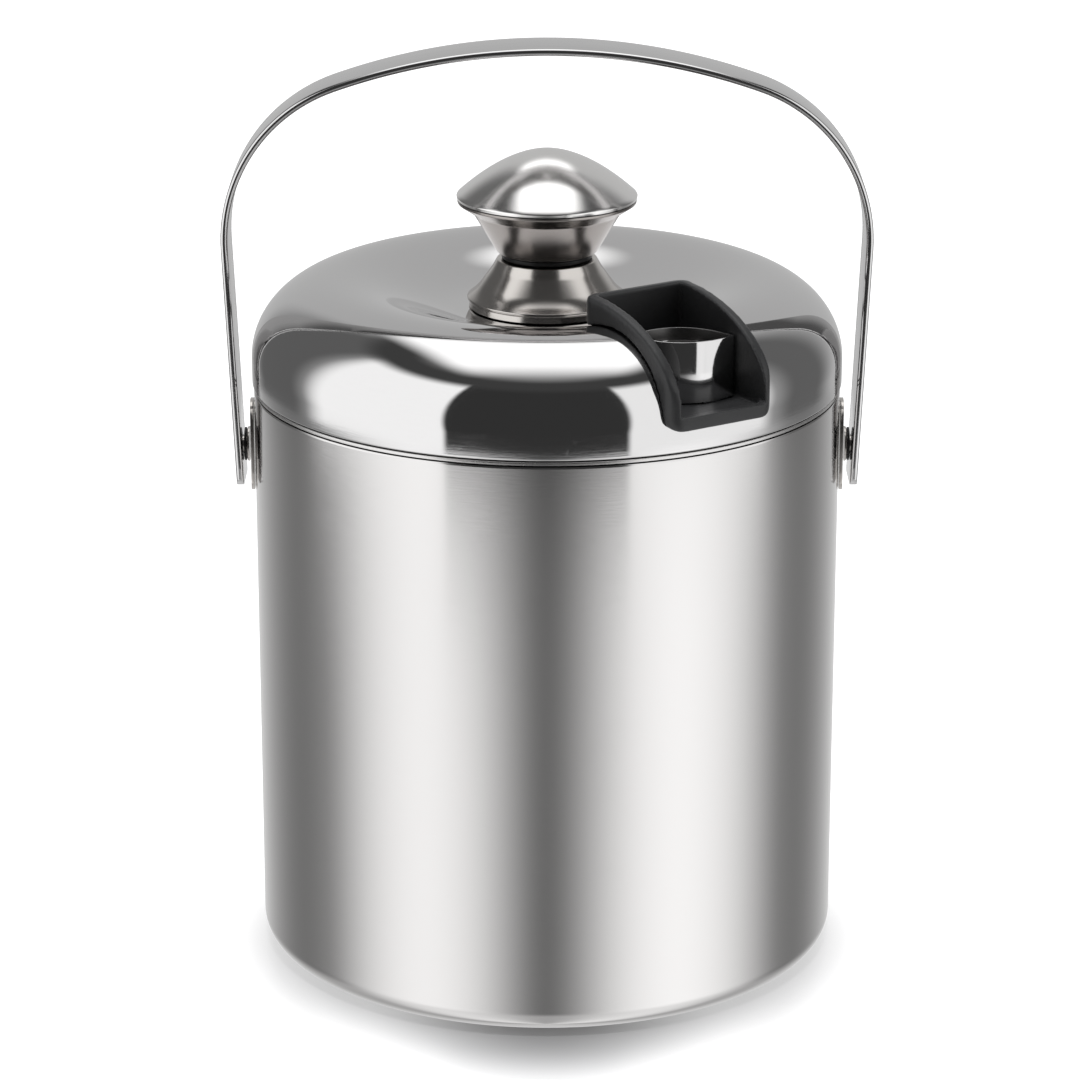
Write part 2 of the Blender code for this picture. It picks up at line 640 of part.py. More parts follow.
def make_tongs(lift_axis):
    place = tongs_place()
    lift = pivot_empty("tongs_axis", place, lift_axis)
    count = 12
    front = []
    for number in range(count):
        x = -HEAD_HALF_LENGTH + 2.0 * HEAD_HALF_LENGTH * number / count
        front.append(Vector((x, -lens_depth(x, HEAD_HALF_DEPTH))))
    ring = front + [Vector((-x, -y)) for x, y in front]
    head = prism("tong_head", ring, GAP, HEAD_HEIGHT, mirror_steel)
    inner = [Vector((x * (1.0 - 2.0 * HEAD_SHEET / HEAD_HALF_LENGTH),
                     y * (1.0 - HEAD_SHEET / HEAD_HALF_DEPTH))) for x, y in ring]
    hollow = prism("head_hollow", inner, -5.0 * MM, HEAD_HEIGHT + 5.0 * MM, None, cutters)
    for piece in (head, hollow):
        piece.location = place
    combine(head, hollow)
    hang(head, lift)

    outer_depth = HEAD_HALF_DEPTH - HEAD_SHEET - ARM_CLEARANCE
    for side, sign in (("front", -1), ("back", 1)):
        hinge = pivot_empty(f"arm_axis_{side}",
                            place + Vector((0.0, sign * outer_depth, ARM_HINGE)), lift)
        arm = sheet_surface(f"tong_arm_{side}", arm_rows(sign, outer_depth), ARM_SHEET,
                            mirror_steel, offset=-sign)
        arm.location = place
        hang(arm, hinge)


def arm_rows(sign, outer_depth):
    """Rows of an arm from its top to its claw; the claw curls in and ends in teeth."""
    joggle = 3.0 * MM
    inner_half_length = HEAD_HALF_LENGTH - 2.0 * HEAD_SHEET
    heights = [ARM_TOP, joggle, 0.0, -0.45 * ARM_LENGTH, -ARM_LENGTH + CLAW_LENGTH]
    curl_steps = 5
    heights += [-ARM_LENGTH + CLAW_LENGTH * (1.0 - number / curl_steps)
                for number in range(1, curl_steps + 1)]
    columns = 2 * CLAW_TEETH
    rows = []
    for height in heights:
        into_claw = max(0.0, (-height - ARM_LENGTH + CLAW_LENGTH) / CLAW_LENGTH)
        row = []
        for column in range(columns + 1):
            x = ARM_HALF_WIDTH * (2.0 * column / columns - 1.0)
            reach = outer_depth if height >= joggle else ARM_DEPTH
            depth = reach * lens_depth(x, 1.0, inner_half_length) - CLAW_CURL * into_claw ** 2
            tooth = CLAW_TOOTH * into_claw if column % 2 else 0.0
            row.append((x, sign * depth, height + tooth))
        rows.append(row)
    return rows


def finish_shading():
    for made in parts.objects:
        if made.type == "MESH":
            smooth(made.data)


make_body()
make_bail()
lid_axis = pivot_empty("lid_axis", (0.0, 0.0, BODY_HEIGHT))
make_lid(lid_axis)
make_knob(lid_axis)
make_holder(lid_axis)
make_tongs(lid_axis)
finish_shading()
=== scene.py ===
"""Finished look of a double-walled steel ice bucket, built round its packed frame."""
import math

import bmesh
import bpy
from bpy.props import FloatProperty, FloatVectorProperty, IntProperty, PointerProperty
from mathutils import Matrix, Vector


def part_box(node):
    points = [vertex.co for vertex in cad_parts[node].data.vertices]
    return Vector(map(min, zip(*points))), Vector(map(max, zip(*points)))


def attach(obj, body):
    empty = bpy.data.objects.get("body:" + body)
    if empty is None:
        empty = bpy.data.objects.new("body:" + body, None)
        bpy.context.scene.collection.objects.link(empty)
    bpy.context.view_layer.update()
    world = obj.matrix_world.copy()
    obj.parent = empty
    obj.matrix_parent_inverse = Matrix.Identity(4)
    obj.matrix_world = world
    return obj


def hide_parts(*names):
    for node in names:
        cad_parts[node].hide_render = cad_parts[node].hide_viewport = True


bl_info = {
    "name": "Steel ice bucket",
    "version": (1, 0, 0),
    "blender": (4, 5, 0),
    "location": "3D View > Sidebar > Ice bucket",
    "description": "Builds the finished pieces of a lidded steel ice bucket",
    "category": "Add Mesh",
}

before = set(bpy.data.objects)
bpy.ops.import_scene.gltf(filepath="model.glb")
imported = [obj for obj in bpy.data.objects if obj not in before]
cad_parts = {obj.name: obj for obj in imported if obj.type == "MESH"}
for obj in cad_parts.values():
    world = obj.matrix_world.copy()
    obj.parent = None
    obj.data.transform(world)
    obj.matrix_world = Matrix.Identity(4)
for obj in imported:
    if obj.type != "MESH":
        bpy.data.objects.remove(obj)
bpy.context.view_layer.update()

MM = 0.001
GAP = 0.3 * MM           # left where real pieces are rolled or welded together
SHEET = 0.8 * MM         # steel of the shell, lid and knob
SCREW_BORE = 2.3 * MM    # radius of the holes round the knob's screw
PAST = 0.01              # how far a cutting tool stands past what it cuts
LID_OUTSIDE = 0.09       # well outside the lid, where a side cutter ends
RIGHT_ANGLE = math.radians(90.0)


def low(node):
    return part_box(node)[0]


def high(node):
    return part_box(node)[1]


def extent(node, axis):
    """Size of a CAD node along an axis."""
    return getattr(high(node), axis) - getattr(low(node), axis)


def halfway(node, axis):
    """Middle of a CAD node along an axis."""
    return (getattr(high(node), axis) + getattr(low(node), axis)) / 2.0


# ---------------------------------------------------------------- sizes and colours

def length(label, about, default):
    return FloatProperty(name=label, description=about, default=default, unit="LENGTH",
                         precision=5)


def colour(label, about, default):
    return FloatVectorProperty(name=label, description=about, default=default,
                               subtype="COLOR", size=3, min=0.0, max=1.0)


def amount(label, about, default):
    return FloatProperty(name=label, description=about, default=default, min=0.0, max=1.0,
                         subtype="FACTOR")


class BUCKET_PG_body(bpy.types.PropertyGroup):
    """Sizes of the double-walled body"""
    radius: length("Radius", "Outside radius of the shell", high("outer_shell").x)
    rim: length("Rim height", "Height of the rolled rim", high("inner_liner").z)
    shell_top: length("Shell top", "Top edge of the outer shell", high("outer_shell").z)
    bottom_fillet: length("Bottom fillet", "Rounding of the lower edge", 5.6 * MM)
    foot_inner: length("Foot inner radius", "Inner edge of the in-turned foot", 50.0 * MM)
    chamber: length("Chamber radius", "Inside radius of the ice chamber", 65.0 * MM)
    floor: length("Chamber floor", "Height of the chamber's floor",
                  low("inner_liner").z + SHEET)
    sheet: length("Sheet", "Thickness of the steel sheet", SHEET)
    segments: IntProperty(name="Segments", description="Facets round the body",
                          default=192, min=24, max=512)


class BUCKET_PG_bail(bpy.types.PropertyGroup):
    """Sizes of the bail and its pivots"""
    pivot: length("Pivot height", "Height of the pivots", halfway("pivot_pin_left", "z"))
    width: length("Width", "Width of the strip", extent("bail_strip", "y"))
    thickness: length("Thickness", "Thickness of the strip", 1.7 * MM)
    top: length("Top", "Height of the bail's crown", high("bail_strip").z)
    tail: length("Tail", "Height of the strip's lower ends", low("bail_strip").z)
    leg: length("Leg", "Outer face of a leg at its pivot", 74.65 * MM)
    lean: FloatProperty(name="Lean", description="Outward lean of the legs",
                        default=math.radians(2.5), subtype="ANGLE")
    top_radius: length("Crown radius", "Bend of the crown", 150.0 * MM)
    corner_radius: length("Corner radius", "Bend of the two shoulders", 40.0 * MM)
    edge: length("Edge rounding", "Rounding of the strip's long edges", 0.8 * MM)


class BUCKET_PG_lid(bpy.types.PropertyGroup):
    """Sizes of the domed lid"""
    radius: length("Radius", "Outside radius of the lid", high("lid_dome").x)
    edge: length("Edge", "Height of the lid's lower edge", low("lid_dome").z)
    side: length("Side", "Height where the upright side starts to round over",
                 high("inner_liner").z + 6.2 * MM)
    crest: length("Crest", "Height of the crest", high("lid_dome").z)
    crest_radius: length("Crest radius", "Radius of the crest", 50.0 * MM)
    dish: length("Dish", "Height of the dish's flat bottom",
                 low("knob_foot").z - GAP)
    dish_radius: length("Dish radius", "Radius of the dish's flat bottom", 19.5 * MM)
    plug: length("Plug", "Radius of the plug under the lid", 64.4 * MM)
    plug_bottom: length("Plug bottom", "Underside of the plug", low("lid_inner_pan").z)


class BUCKET_PG_knob(bpy.types.PropertyGroup):
    """Sizes of the turned knob"""
    foot: length("Foot radius", "Radius of the foot", high("knob_foot").x)
    foot_top: length("Foot top", "Top of the foot", high("knob_foot").z)
    neck: length("Neck", "Radius of the neck", 11.8 * MM)
    cone_bottom: length("Cone bottom", "Underside of the cone", low("knob_cone").z)
    crease: length("Crease", "Height where the cone meets the cap", high("knob_cone").z)
    radius: length("Radius", "Widest radius of the knob", high("knob_cap").x)
    top: length("Top", "Top of the cap", high("knob_cap").z)
    crown: FloatProperty(name="Crown", description="Exponent of the cap's curve",
                         default=1.8, min=1.0, max=4.0)


class BUCKET_PG_holder(bpy.types.PropertyGroup):
    """Sizes of the moulded tong holder"""
    azimuth: FloatProperty(name="Azimuth", description="Turn from the front towards +X",
                           default=math.radians(33.0), subtype="ANGLE")
    half_width: length("Half width", "Half the width over the rim", 14.2 * MM)
    wall: length("Wall", "Width of the rim", 2.7 * MM)
    back: length("Back", "Back face, from the lid's axis", 35.8 * MM)
    front: length("Front", "Front face, from the lid's axis", 73.3 * MM)
    top: length("Top", "Top of the back wall", high("tong_holder").z)
    lip_bottom: length("Lip bottom", "Underside of the front lip",
                       high("inner_liner").z + 6.0 * MM)
    lip_top: length("Lip top", "Top of the front lip", high("inner_liner").z + 9.4 * MM)
    floor: length("Floor", "Floor of the recess", low("tong_head").z - GAP)
    voxel: length("Moulding detail", "Size of the voxels that round the moulding", 0.36 * MM)


class BUCKET_PG_tongs(bpy.types.PropertyGroup):
    """Sizes of the tongs"""
    half_length: length("Half length", "Half the head's length", extent("tong_head", "x") / 2.0)
    half_depth: length("Half depth", "Half the head's depth", extent("tong_head", "y") / 2.0)
    sheet: length("Head sheet", "Thickness of the head's band", 0.6 * MM)
    arm_sheet: length("Arm sheet", "Thickness of an arm", 0.9 * MM)
    arm_depth: length("Arm depth", "Outer face of an arm, from the tongs' middle", 4.6 * MM)
    claw: length("Claw", "Length of the toothed claw", 16.0 * MM)
    curl: length("Curl", "Inward curl of the claw", 1.0 * MM)


class BUCKET_PG_finish(bpy.types.PropertyGroup):
    """Colours and finishes"""
    steel: colour("Steel", "Colour of the polished steel", (0.655, 0.65, 0.65))
    satin: colour("Satin steel", "Colour of the satin steel", (0.67, 0.66, 0.655))
    plastic: colour("Plastic", "Colour of the black moulding", (0.02, 0.0202, 0.021))
    nylon: colour("Nylon", "Colour of the washers", (0.012, 0.012, 0.012))
    silicone: colour("Silicone", "Colour of the sealing washer", (0.5, 0.5, 0.49))
    satin_roughness: amount("Satin roughness", "Blur of the satin steel", 0.11)
    polish_roughness: amount("Polish roughness", "Blur of the polished steel", 0.035)
    floor: colour("Floor", "Colour of the studio floor", (0.3, 0.3, 0.305))


class BUCKET_PG_studio(bpy.types.PropertyGroup):
    """Camera and light"""
    distance: length("Distance", "Camera's distance in front of the axis", 0.95965)
    height: length("Height", "Camera's height above the floor", 0.41207)
    aside: length("Aside", "Camera's place across the view", -0.00166)
    pitch: FloatProperty(name="Pitch", description="Downward tilt of the camera",
                         default=0.3153, subtype="ANGLE")
    lens: FloatProperty(name="Lens", description="Focal length in millimetres",
                        default=138.82, min=10.0, max=400.0)
    floor_size: length("Floor size", "Width of the floor", 6.0)
    # The floor's glow is painted light: it keeps the floor white far away, dims to a painted
    # contact shadow round the foot, and falls to a painted shadow spot before the bucket.
    sweep_glow: FloatProperty(name="Sweep glow", description="Glow of the floor far away",
                              default=0.9, min=0.0, max=2.0)
    sweep_near: length("Sweep start", "Distance where the floor starts to glow", 0.055)
    sweep_far: length("Sweep end", "Distance where the floor glows fully", 0.086)
    edge_front: length("Glow shift", "Distance of the glow's centre before the axis", 0.012)
    edge_glow: FloatProperty(name="Edge glow", description="Glow of the floor at the foot",
                             default=0.43, min=0.0, max=1.0)
    shade_front: length("Shade", "Distance of the floor's darkest spot before the axis", 0.055)
    soft_power: FloatProperty(name="Soft light", description="Power of the light above, in watts",
                              default=15.0, min=0.0, max=500.0)
    soft_height: length("Soft light height", "Height of the light above", 1.3)
    soft_size: length("Soft light size", "Width of the light above", 0.25)
    surround: FloatProperty(name="Surround", description="Strength of the soft panels",
                            default=1.45, min=0.0, max=5.0)


def sizes(group):
    return getattr(bpy.context.scene, "bucket_" + group)


# ---------------------------------------------------------------- outlines

def rounded(corners, closed=False, step=math.radians(10.0)):
    """Points along corners (x, y, radius), each corner turned by an arc of its radius."""
    points = []
    count = len(corners)
    for index, (x, y, radius) in enumerate(corners):
        here = Vector((x, y))
        at_end = not closed and index in (0, count - 1)
        if at_end or radius <= 0.0:
            points.append(here)
            continue
        before = (Vector(corners[index - 1][:2]) - here).normalized()
        after = (Vector(corners[(index + 1) % count][:2]) - here).normalized()
        half = before.angle(after) / 2.0
        centre = here + (before + after).normalized() * (radius / math.sin(half))
        reach = radius / math.tan(half)
        start = here + before * reach - centre
        sweep = start.angle_signed(here + after * reach - centre)
        arcs = max(2, math.ceil(abs(sweep) / step))
        for number in range(arcs + 1):
            points.append(centre + Matrix.Rotation(-sweep * number / arcs, 2) @ start)
    return points


def ellipse_arc(centre, width, height, first, last, count):
    """Points on an ellipse between two angles, in degrees from +x."""
    points = []
    for number in range(count + 1):
        angle = math.radians(first + (last - first) * number / count)
        points.append(Vector((centre[0] + width * math.cos(angle),
                              centre[1] + height * math.sin(angle))))
    return points


def rectangle(half_x, half_y, corner, centre=(0.0, 0.0)):
    """A rectangle with rounded corners."""
    signs = ((1, 1), (-1, 1), (-1, -1), (1, -1))
    return rounded([(centre[0] + half_x * sx, centre[1] + half_y * sy, corner)
                    for sx, sy in signs], closed=True)


# ---------------------------------------------------------------- mesh tools

def new_object(name, mesh, finish=None):
    made = bpy.data.objects.new(name, mesh)
    bpy.context.scene.collection.objects.link(made)
    if finish:
        mesh.materials.append(finish)
    return made


def settle(piece, sharp=32.0):
    """Applies a piece's modifiers and place, so its mesh is final and it sits at the origin."""
    bpy.context.view_layer.update()
    live = piece.evaluated_get(bpy.context.evaluated_depsgraph_get())
    mesh = bpy.data.meshes.new_from_object(live)
    mesh.transform(piece.matrix_world)
    piece.modifiers.clear()
    piece.data = mesh
    piece.matrix_world = Matrix.Identity(4)
    mesh.name = piece.name
    if sharp:
        mesh.shade_smooth()
        mesh.set_sharp_from_angle(angle=math.radians(sharp))
    return piece


def turned(name, outline, finish, segments, closed=False, wall=0.0, edge=0.0):
    """A turned piece: its outline (radius, height) runs down its outer side."""
    mesh = bpy.data.meshes.new(name)
    count = len(outline)
    edges = [(index, index + 1) for index in range(count - 1)]
    if closed:
        edges.append((count - 1, 0))
    mesh.from_pydata([(x, 0.0, y) for x, y in outline], edges, [])
    made = new_object(name, mesh, finish)
    spin = made.modifiers.new("turn", "SCREW")
    spin.axis = "Z"
    spin.steps = segments
    spin.render_steps = segments
    spin.use_merge_vertices = True
    spin.merge_threshold = 0.00001
    if wall:
        sheet = made.modifiers.new("wall", "SOLIDIFY")
        sheet.thickness = wall
        sheet.offset = -1.0
        sheet.use_even_offset = True
    if edge:
        soften(made, edge)
    return made


def ring(name, outer, inner, top, bottom, edge, finish, segments):
    """A washer or sleeve between two radii and two heights; its bore has a finer edge."""
    bore_edge = 0.1 * MM
    outline = rounded([(outer, top, edge), (outer, bottom, edge),
                       (inner, bottom, bore_edge), (inner, top, bore_edge)], closed=True)
    return turned(name, outline, finish, segments, closed=True)


def soften(piece, width, segments=2, angle=50.0):
    """Bevels the edges sharper than an angle in degrees."""
    edge = piece.modifiers.new("edge", "BEVEL")
    edge.width = width
    edge.segments = segments
    edge.limit_method = "ANGLE"
    edge.angle_limit = math.radians(angle)
    return edge


def mould_round(piece, voxel, passes):
    """Rounds a moulding's edges: a fine even mesh, eased a number of times."""
    mould = piece.modifiers.new("mould", "REMESH")
    mould.mode = "VOXEL"
    mould.voxel_size = voxel
    ease = piece.modifiers.new("ease", "SMOOTH")
    ease.factor = 0.5
    ease.iterations = passes


def prism(name, outline, bottom, top, finish=None):
    """A flat outline in X and Y, upright between two heights."""
    mesh = bpy.data.meshes.new(name)
    shape = bmesh.new()
    base = shape.faces.new([shape.verts.new((x, y, bottom)) for x, y in outline])
    raised = bmesh.ops.extrude_face_region(shape, geom=[base])
    lifted = [item for item in raised["geom"] if isinstance(item, bmesh.types.BMVert)]
    bmesh.ops.translate(shape, verts=lifted, vec=(0.0, 0.0, top - bottom))
    bmesh.ops.recalc_face_normals(shape, faces=shape.faces)
    shape.to_mesh(mesh)
    shape.free()
    return new_object(name, mesh, finish)


def combine(target, tool, operation="DIFFERENCE"):
    """Cuts or joins a settled tool and removes it."""
    joined = target.modifiers.new(operation.lower(), "BOOLEAN")
    joined.operation = operation
    joined.solver = "EXACT"
    joined.object = tool
    settle(target)
    bpy.data.objects.remove(tool, do_unlink=True)
    return target


def finish_piece(piece, body, nodes):
    """Puts a piece on its body in place of its CAD nodes."""
    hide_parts(*nodes)
    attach(piece, body)


# ---------------------------------------------------------------- shader groups

LINE_DEPTH = 0.00002     # depth of the lines in brushed and rolled steel
GRAIN_DEPTH = 0.00006    # depth of the plastic's grain


class Nodes:
    """Short calls for building a node tree."""

    def __init__(self, tree):
        self.tree = tree

    def add(self, kind, **settings):
        node = self.tree.nodes.new(kind)
        for key, value in settings.items():
            setattr(node, key, value)
        return node

    def link(self, source, target):
        self.tree.links.new(source, target)

    def set(self, socket, value):
        if isinstance(value, bpy.types.NodeSocket):
            self.link(value, socket)
        else:
            socket.default_value = value

    def math(self, operation, first, second=0.0, third=None, clamp=False):
        node = self.add("ShaderNodeMath", operation=operation, use_clamp=clamp)
        self.set(node.inputs[0], first)
        self.set(node.inputs[1], second)
        if third is not None:
            self.set(node.inputs[2], third)
        return node.outputs[0]

    def remap(self, value, low_in, high_in, low_out=0.0, high_out=1.0, smooth=False):
        node = self.add("ShaderNodeMapRange")
        if smooth:
            node.interpolation_type = "SMOOTHSTEP"
        for socket, number in zip(node.inputs[:5], (value, low_in, high_in, low_out, high_out)):
            self.set(socket, number)
        return node.outputs[0]

    def split(self, vector):
        node = self.add("ShaderNodeSeparateXYZ")
        self.link(vector, node.inputs[0])
        return node.outputs

    def join(self, x, y, z):
        node = self.add("ShaderNodeCombineXYZ")
        for socket, value in zip(node.inputs, (x, y, z)):
            self.set(socket, value)
        return node.outputs[0]

    def noise(self, vector, scale, detail=2.0, roughness=0.5):
        node = self.add("ShaderNodeTexNoise")
        self.link(vector, node.inputs["Vector"])
        self.set(node.inputs["Scale"], scale)
        self.set(node.inputs["Detail"], detail)
        self.set(node.inputs["Roughness"], roughness)
        return node.outputs["Fac"]

    def mix(self, factor, first, second):
        node = self.add("ShaderNodeMix", data_type="RGBA")
        self.set(node.inputs[0], factor)
        self.set(node.inputs[6], first)
        self.set(node.inputs[7], second)
        return node.outputs[2]

    def distance(self, x, y):
        return self.math("SQRT", self.math("ADD", self.math("MULTIPLY", x, x),
                                           self.math("MULTIPLY", y, y)))

    def stretch(self, vector, scale, rotation=(0.0, 0.0, 0.0)):
        node = self.add("ShaderNodeMapping")
        node.inputs["Scale"].default_value = scale
        node.inputs["Rotation"].default_value = rotation
        self.link(vector, node.inputs["Vector"])
        return node.outputs[0]

    def bump(self, height, strength, depth):
        node = self.add("ShaderNodeBump")
        self.set(node.inputs["Strength"], strength)
        self.set(node.inputs["Distance"], depth)
        self.link(height, node.inputs["Height"])
        return node.outputs[0]


def grey(level):
    return (level, level, level, 1.0)


def opaque(tint, scale=1.0):
    """A colour with its alpha, made darker or paler by a factor."""
    return (*(min(1.0, part * scale) for part in tint), 1.0)


def new_group(name, inputs, outputs, tree_kind="ShaderNodeTree"):
    """A node group with its inputs (label, socket, default) and outputs (label, socket)."""
    tree = bpy.data.node_groups.new(name, tree_kind)
    for label, kind, default in inputs:
        socket = tree.interface.new_socket(label, in_out="INPUT", socket_type=kind)
        if default is not None:
            socket.default_value = default
    for label, kind in outputs:
        tree.interface.new_socket(label, in_out="OUTPUT", socket_type=kind)
    work = Nodes(tree)
    return work, work.add("NodeGroupInput").outputs, work.add("NodeGroupOutput").inputs


def circular_brushing():
    """Fine lines round the Z axis: a roughness change, a tone and a bent normal."""
    work, given, out = new_group(
        "circular_brushing",
        [("Vector", "NodeSocketVector", None), ("Lines", "NodeSocketFloat", 2500.0),
         ("Roughness", "NodeSocketFloat", 0.1), ("Spread", "NodeSocketFloat", 0.05),
         ("Depth", "NodeSocketFloat", 0.1)],
        [("Roughness", "NodeSocketFloat"), ("Tone", "NodeSocketFloat"),
         ("Normal", "NodeSocketVector")])
    x, y, z = work.split(given["Vector"])
    radius = work.distance(x, y)
    angle = work.math("ARCTAN2", x, y)
    lines = work.join(work.math("MULTIPLY", angle, 0.004), radius, z)
    fine = work.noise(lines, given["Lines"], 3.0, 0.65)
    slow = work.noise(given["Vector"], 18.0, 2.0)
    change = work.math("SUBTRACT", work.math("ADD", fine, slow), 1.0)
    rough = work.math("MULTIPLY_ADD", change, given["Spread"], given["Roughness"], clamp=True)
    work.link(rough, out["Roughness"])
    work.link(work.remap(fine, 0.3, 0.7, 0.965, 1.0), out["Tone"])
    work.link(work.bump(fine, given["Depth"], LINE_DEPTH), out["Normal"])
    return work.tree


def handling_marks():
    """Faint smears and hairline scratches from use."""
    work, given, out = new_group(
        "handling_marks",
        [("Vector", "NodeSocketVector", None), ("Roughness", "NodeSocketFloat", 0.05),
         ("Smears", "NodeSocketFloat", 0.03), ("Scratches", "NodeSocketFloat", 0.05)],
        [("Roughness", "NodeSocketFloat"), ("Marks", "NodeSocketFloat")])
    smear = work.remap(work.noise(given["Vector"], 45.0, 3.0, 0.6), 0.52, 0.72, smooth=True)
    streaks = work.stretch(given["Vector"], (1.0, 6.0, 0.5), (0.4, 0.7, 0.3))
    hair = work.noise(streaks, 900.0, 1.0)
    scratch = work.remap(hair, 0.735, 0.76, smooth=True)
    rough = work.math("MULTIPLY_ADD", smear, given["Smears"], given["Roughness"])
    rough = work.math("MULTIPLY_ADD", scratch, given["Scratches"], rough, clamp=True)
    work.link(rough, out["Roughness"])
    work.link(scratch, out["Marks"])
    return work.tree


def moulded_grain():
    """Fine spark grain of a moulded plastic, with a roughness that follows the grain."""
    work, given, out = new_group(
        "moulded_grain",
        [("Vector", "NodeSocketVector", None), ("Colour", "NodeSocketColor", None),
         ("Scale", "NodeSocketFloat", 2600.0), ("Depth", "NodeSocketFloat", 0.25),
         ("Roughness", "NodeSocketFloat", 0.5)],
        [("Colour", "NodeSocketColor"), ("Roughness", "NodeSocketFloat"),
         ("Normal", "NodeSocketVector")])
    grain = work.noise(given["Vector"], given["Scale"], 2.0, 0.6)
    cloud = work.noise(given["Vector"], 120.0, 2.0)
    shade = work.math("MULTIPLY_ADD", cloud, 0.5, 0.75)
    lighter = work.add("ShaderNodeVectorMath", operation="SCALE")
    work.link(given["Colour"], lighter.inputs[0])
    work.link(shade, lighter.inputs["Scale"])
    work.link(lighter.outputs[0], out["Colour"])
    rough = work.math("MULTIPLY_ADD", work.math("SUBTRACT", grain, 0.5), 0.3,
                      given["Roughness"], clamp=True)
    work.link(rough, out["Roughness"])
    work.link(work.bump(grain, given["Depth"], GRAIN_DEPTH), out["Normal"])
    return work.tree


def shared_group(maker):
    return bpy.data.node_groups.get(maker.__name__) or maker()


# ---------------------------------------------------------------- materials

def base_material(name, metallic):
    made = bpy.data.materials.new(name)
    made.use_nodes = True
    shader = made.node_tree.nodes["Principled BSDF"]
    shader.inputs["Metallic"].default_value = metallic
    work = Nodes(made.node_tree)
    return made, work, shader, work.add("ShaderNodeTexCoord").outputs["Object"]


def place_group(work, maker, place, **values):
    node = work.add("ShaderNodeGroup", node_tree=shared_group(maker))
    work.link(place, node.inputs["Vector"])
    for label, value in values.items():
        work.set(node.inputs[label], value)
    return node.outputs


def steel(name, tint, roughness, lines, spread, depth, smears=0.0, scratches=0.0):
    """Steel finished in a lathe: circular lines, with marks of use over them."""
    found = bpy.data.materials.get(name)
    if found:
        return found
    made, work, shader, place = base_material(name, 1.0)
    brushed = place_group(work, circular_brushing, place, Lines=lines, Roughness=roughness,
                          Spread=spread, Depth=depth)
    used = place_group(work, handling_marks, place, Roughness=brushed["Roughness"],
                       Smears=smears, Scratches=scratches)
    tone = work.mix(brushed["Tone"], opaque(tint, 0.6), opaque(tint))
    work.link(tone, shader.inputs["Base Color"])
    work.link(used["Roughness"], shader.inputs["Roughness"])
    work.link(brushed["Normal"], shader.inputs["Normal"])
    return made


def satin_steel():
    finish = sizes("finish")
    return steel("body_steel", finish.satin, finish.satin_roughness, 2600.0, 0.06, 0.06,
                 smears=0.015, scratches=0.02)


def lid_steel():
    finish = sizes("finish")
    return steel("lid_steel", finish.steel, finish.polish_roughness + 0.015, 3600.0, 0.05, 0.05,
                 smears=0.01, scratches=0.03)


def spun_steel(name, tint, blur):
    """Steel of the knob and the pivots, as turned or spun, a little duller than the lid."""
    return steel(name, tint, sizes("finish").polish_roughness + blur, 3000.0, 0.08, 0.15,
                 smears=0.01, scratches=0.02)


# Painted shade: a tint darker than the lid's steel, though these pieces are the same steel; the
# foot, pins and ear plates all take it.
def shaded_knob_steel():
    return spun_steel("shaded_knob_steel", (0.56, 0.535, 0.51), 0.14)


def shaded_cone_steel():
    """Satin cup of the knob, with painted shade: a tint darker than the foot's stands in for the
    shade under the cap.
    """
    return spun_steel("shaded_cone_steel", (0.34, 0.318, 0.305), 0.17)


# Painted highlight: the cap takes a paler tint than the rest of the knob's steel, standing in for
# the light it catches.
def lit_cap_steel():
    return spun_steel("lit_cap_steel", (0.83, 0.82, 0.81), 0.13)


def shaded_inside_steel():
    """Inside of the head band: left as rolled, with painted shade: a dark tint stands in for the
    shadow inside the narrow band.
    """
    return steel("shaded_inside_steel", (0.13, 0.127, 0.125), 0.35, 2400.0, 0.1, 0.15,
                 smears=0.03, scratches=0.04)


def chamber_steel():
    finish = sizes("finish")
    return steel("chamber_steel", finish.satin, 0.26, 1800.0, 0.08, 0.12,
                 smears=0.03, scratches=0.05)


def hardware_steel():
    return steel("hardware_steel", (0.62, 0.61, 0.6), 0.3, 3000.0, 0.1, 0.2,
                 smears=0.04, scratches=0.05)


def strip_steel():
    """Polished strip with fine grain along its length."""
    found = bpy.data.materials.get("strip_steel")
    if found:
        return found
    finish = sizes("finish")
    made, work, shader, place = base_material("strip_steel", 1.0)
    grain = work.noise(work.stretch(place, (40.0, 1600.0, 40.0)), 1.0, 2.0)
    used = place_group(work, handling_marks, place, Roughness=finish.polish_roughness + 0.05,
                       Smears=0.04, Scratches=0.05)
    rough = work.math("MULTIPLY_ADD", work.math("SUBTRACT", grain, 0.5), 0.08,
                      used["Roughness"], clamp=True)
    work.link(rough, shader.inputs["Roughness"])
    tone = work.remap(grain, 0.3, 0.7, 0.9, 1.0)
    shaded = work.mix(tone, opaque(finish.steel, 0.5), opaque(finish.steel))
    work.link(shaded, shader.inputs["Base Color"])
    work.link(work.bump(grain, 0.08, LINE_DEPTH), shader.inputs["Normal"])
    return made


def plastic(name, tint, scale, depth, roughness):
    """A moulded material with a fine grain."""
    found = bpy.data.materials.get(name)
    if found:
        return found
    made, work, shader, place = base_material(name, 0.0)
    grain = place_group(work, moulded_grain, place, Colour=opaque(tint), Scale=scale,
                        Depth=depth, Roughness=roughness)
    work.link(grain["Colour"], shader.inputs["Base Color"])
    work.link(grain["Roughness"], shader.inputs["Roughness"])
    work.link(grain["Normal"], shader.inputs["Normal"])
    shader.inputs["Specular IOR Level"].default_value = 0.33
    return made


def holder_plastic():
    return plastic("holder_plastic", sizes("finish").plastic, 2400.0, 0.35, 0.36)


def washer_nylon():
    return plastic("washer_nylon", sizes("finish").nylon, 900.0, 0.1, 0.35)


def washer_silicone():
    return plastic("washer_silicone", sizes("finish").silicone, 700.0, 0.1, 0.45)


# ---------------------------------------------------------------- body

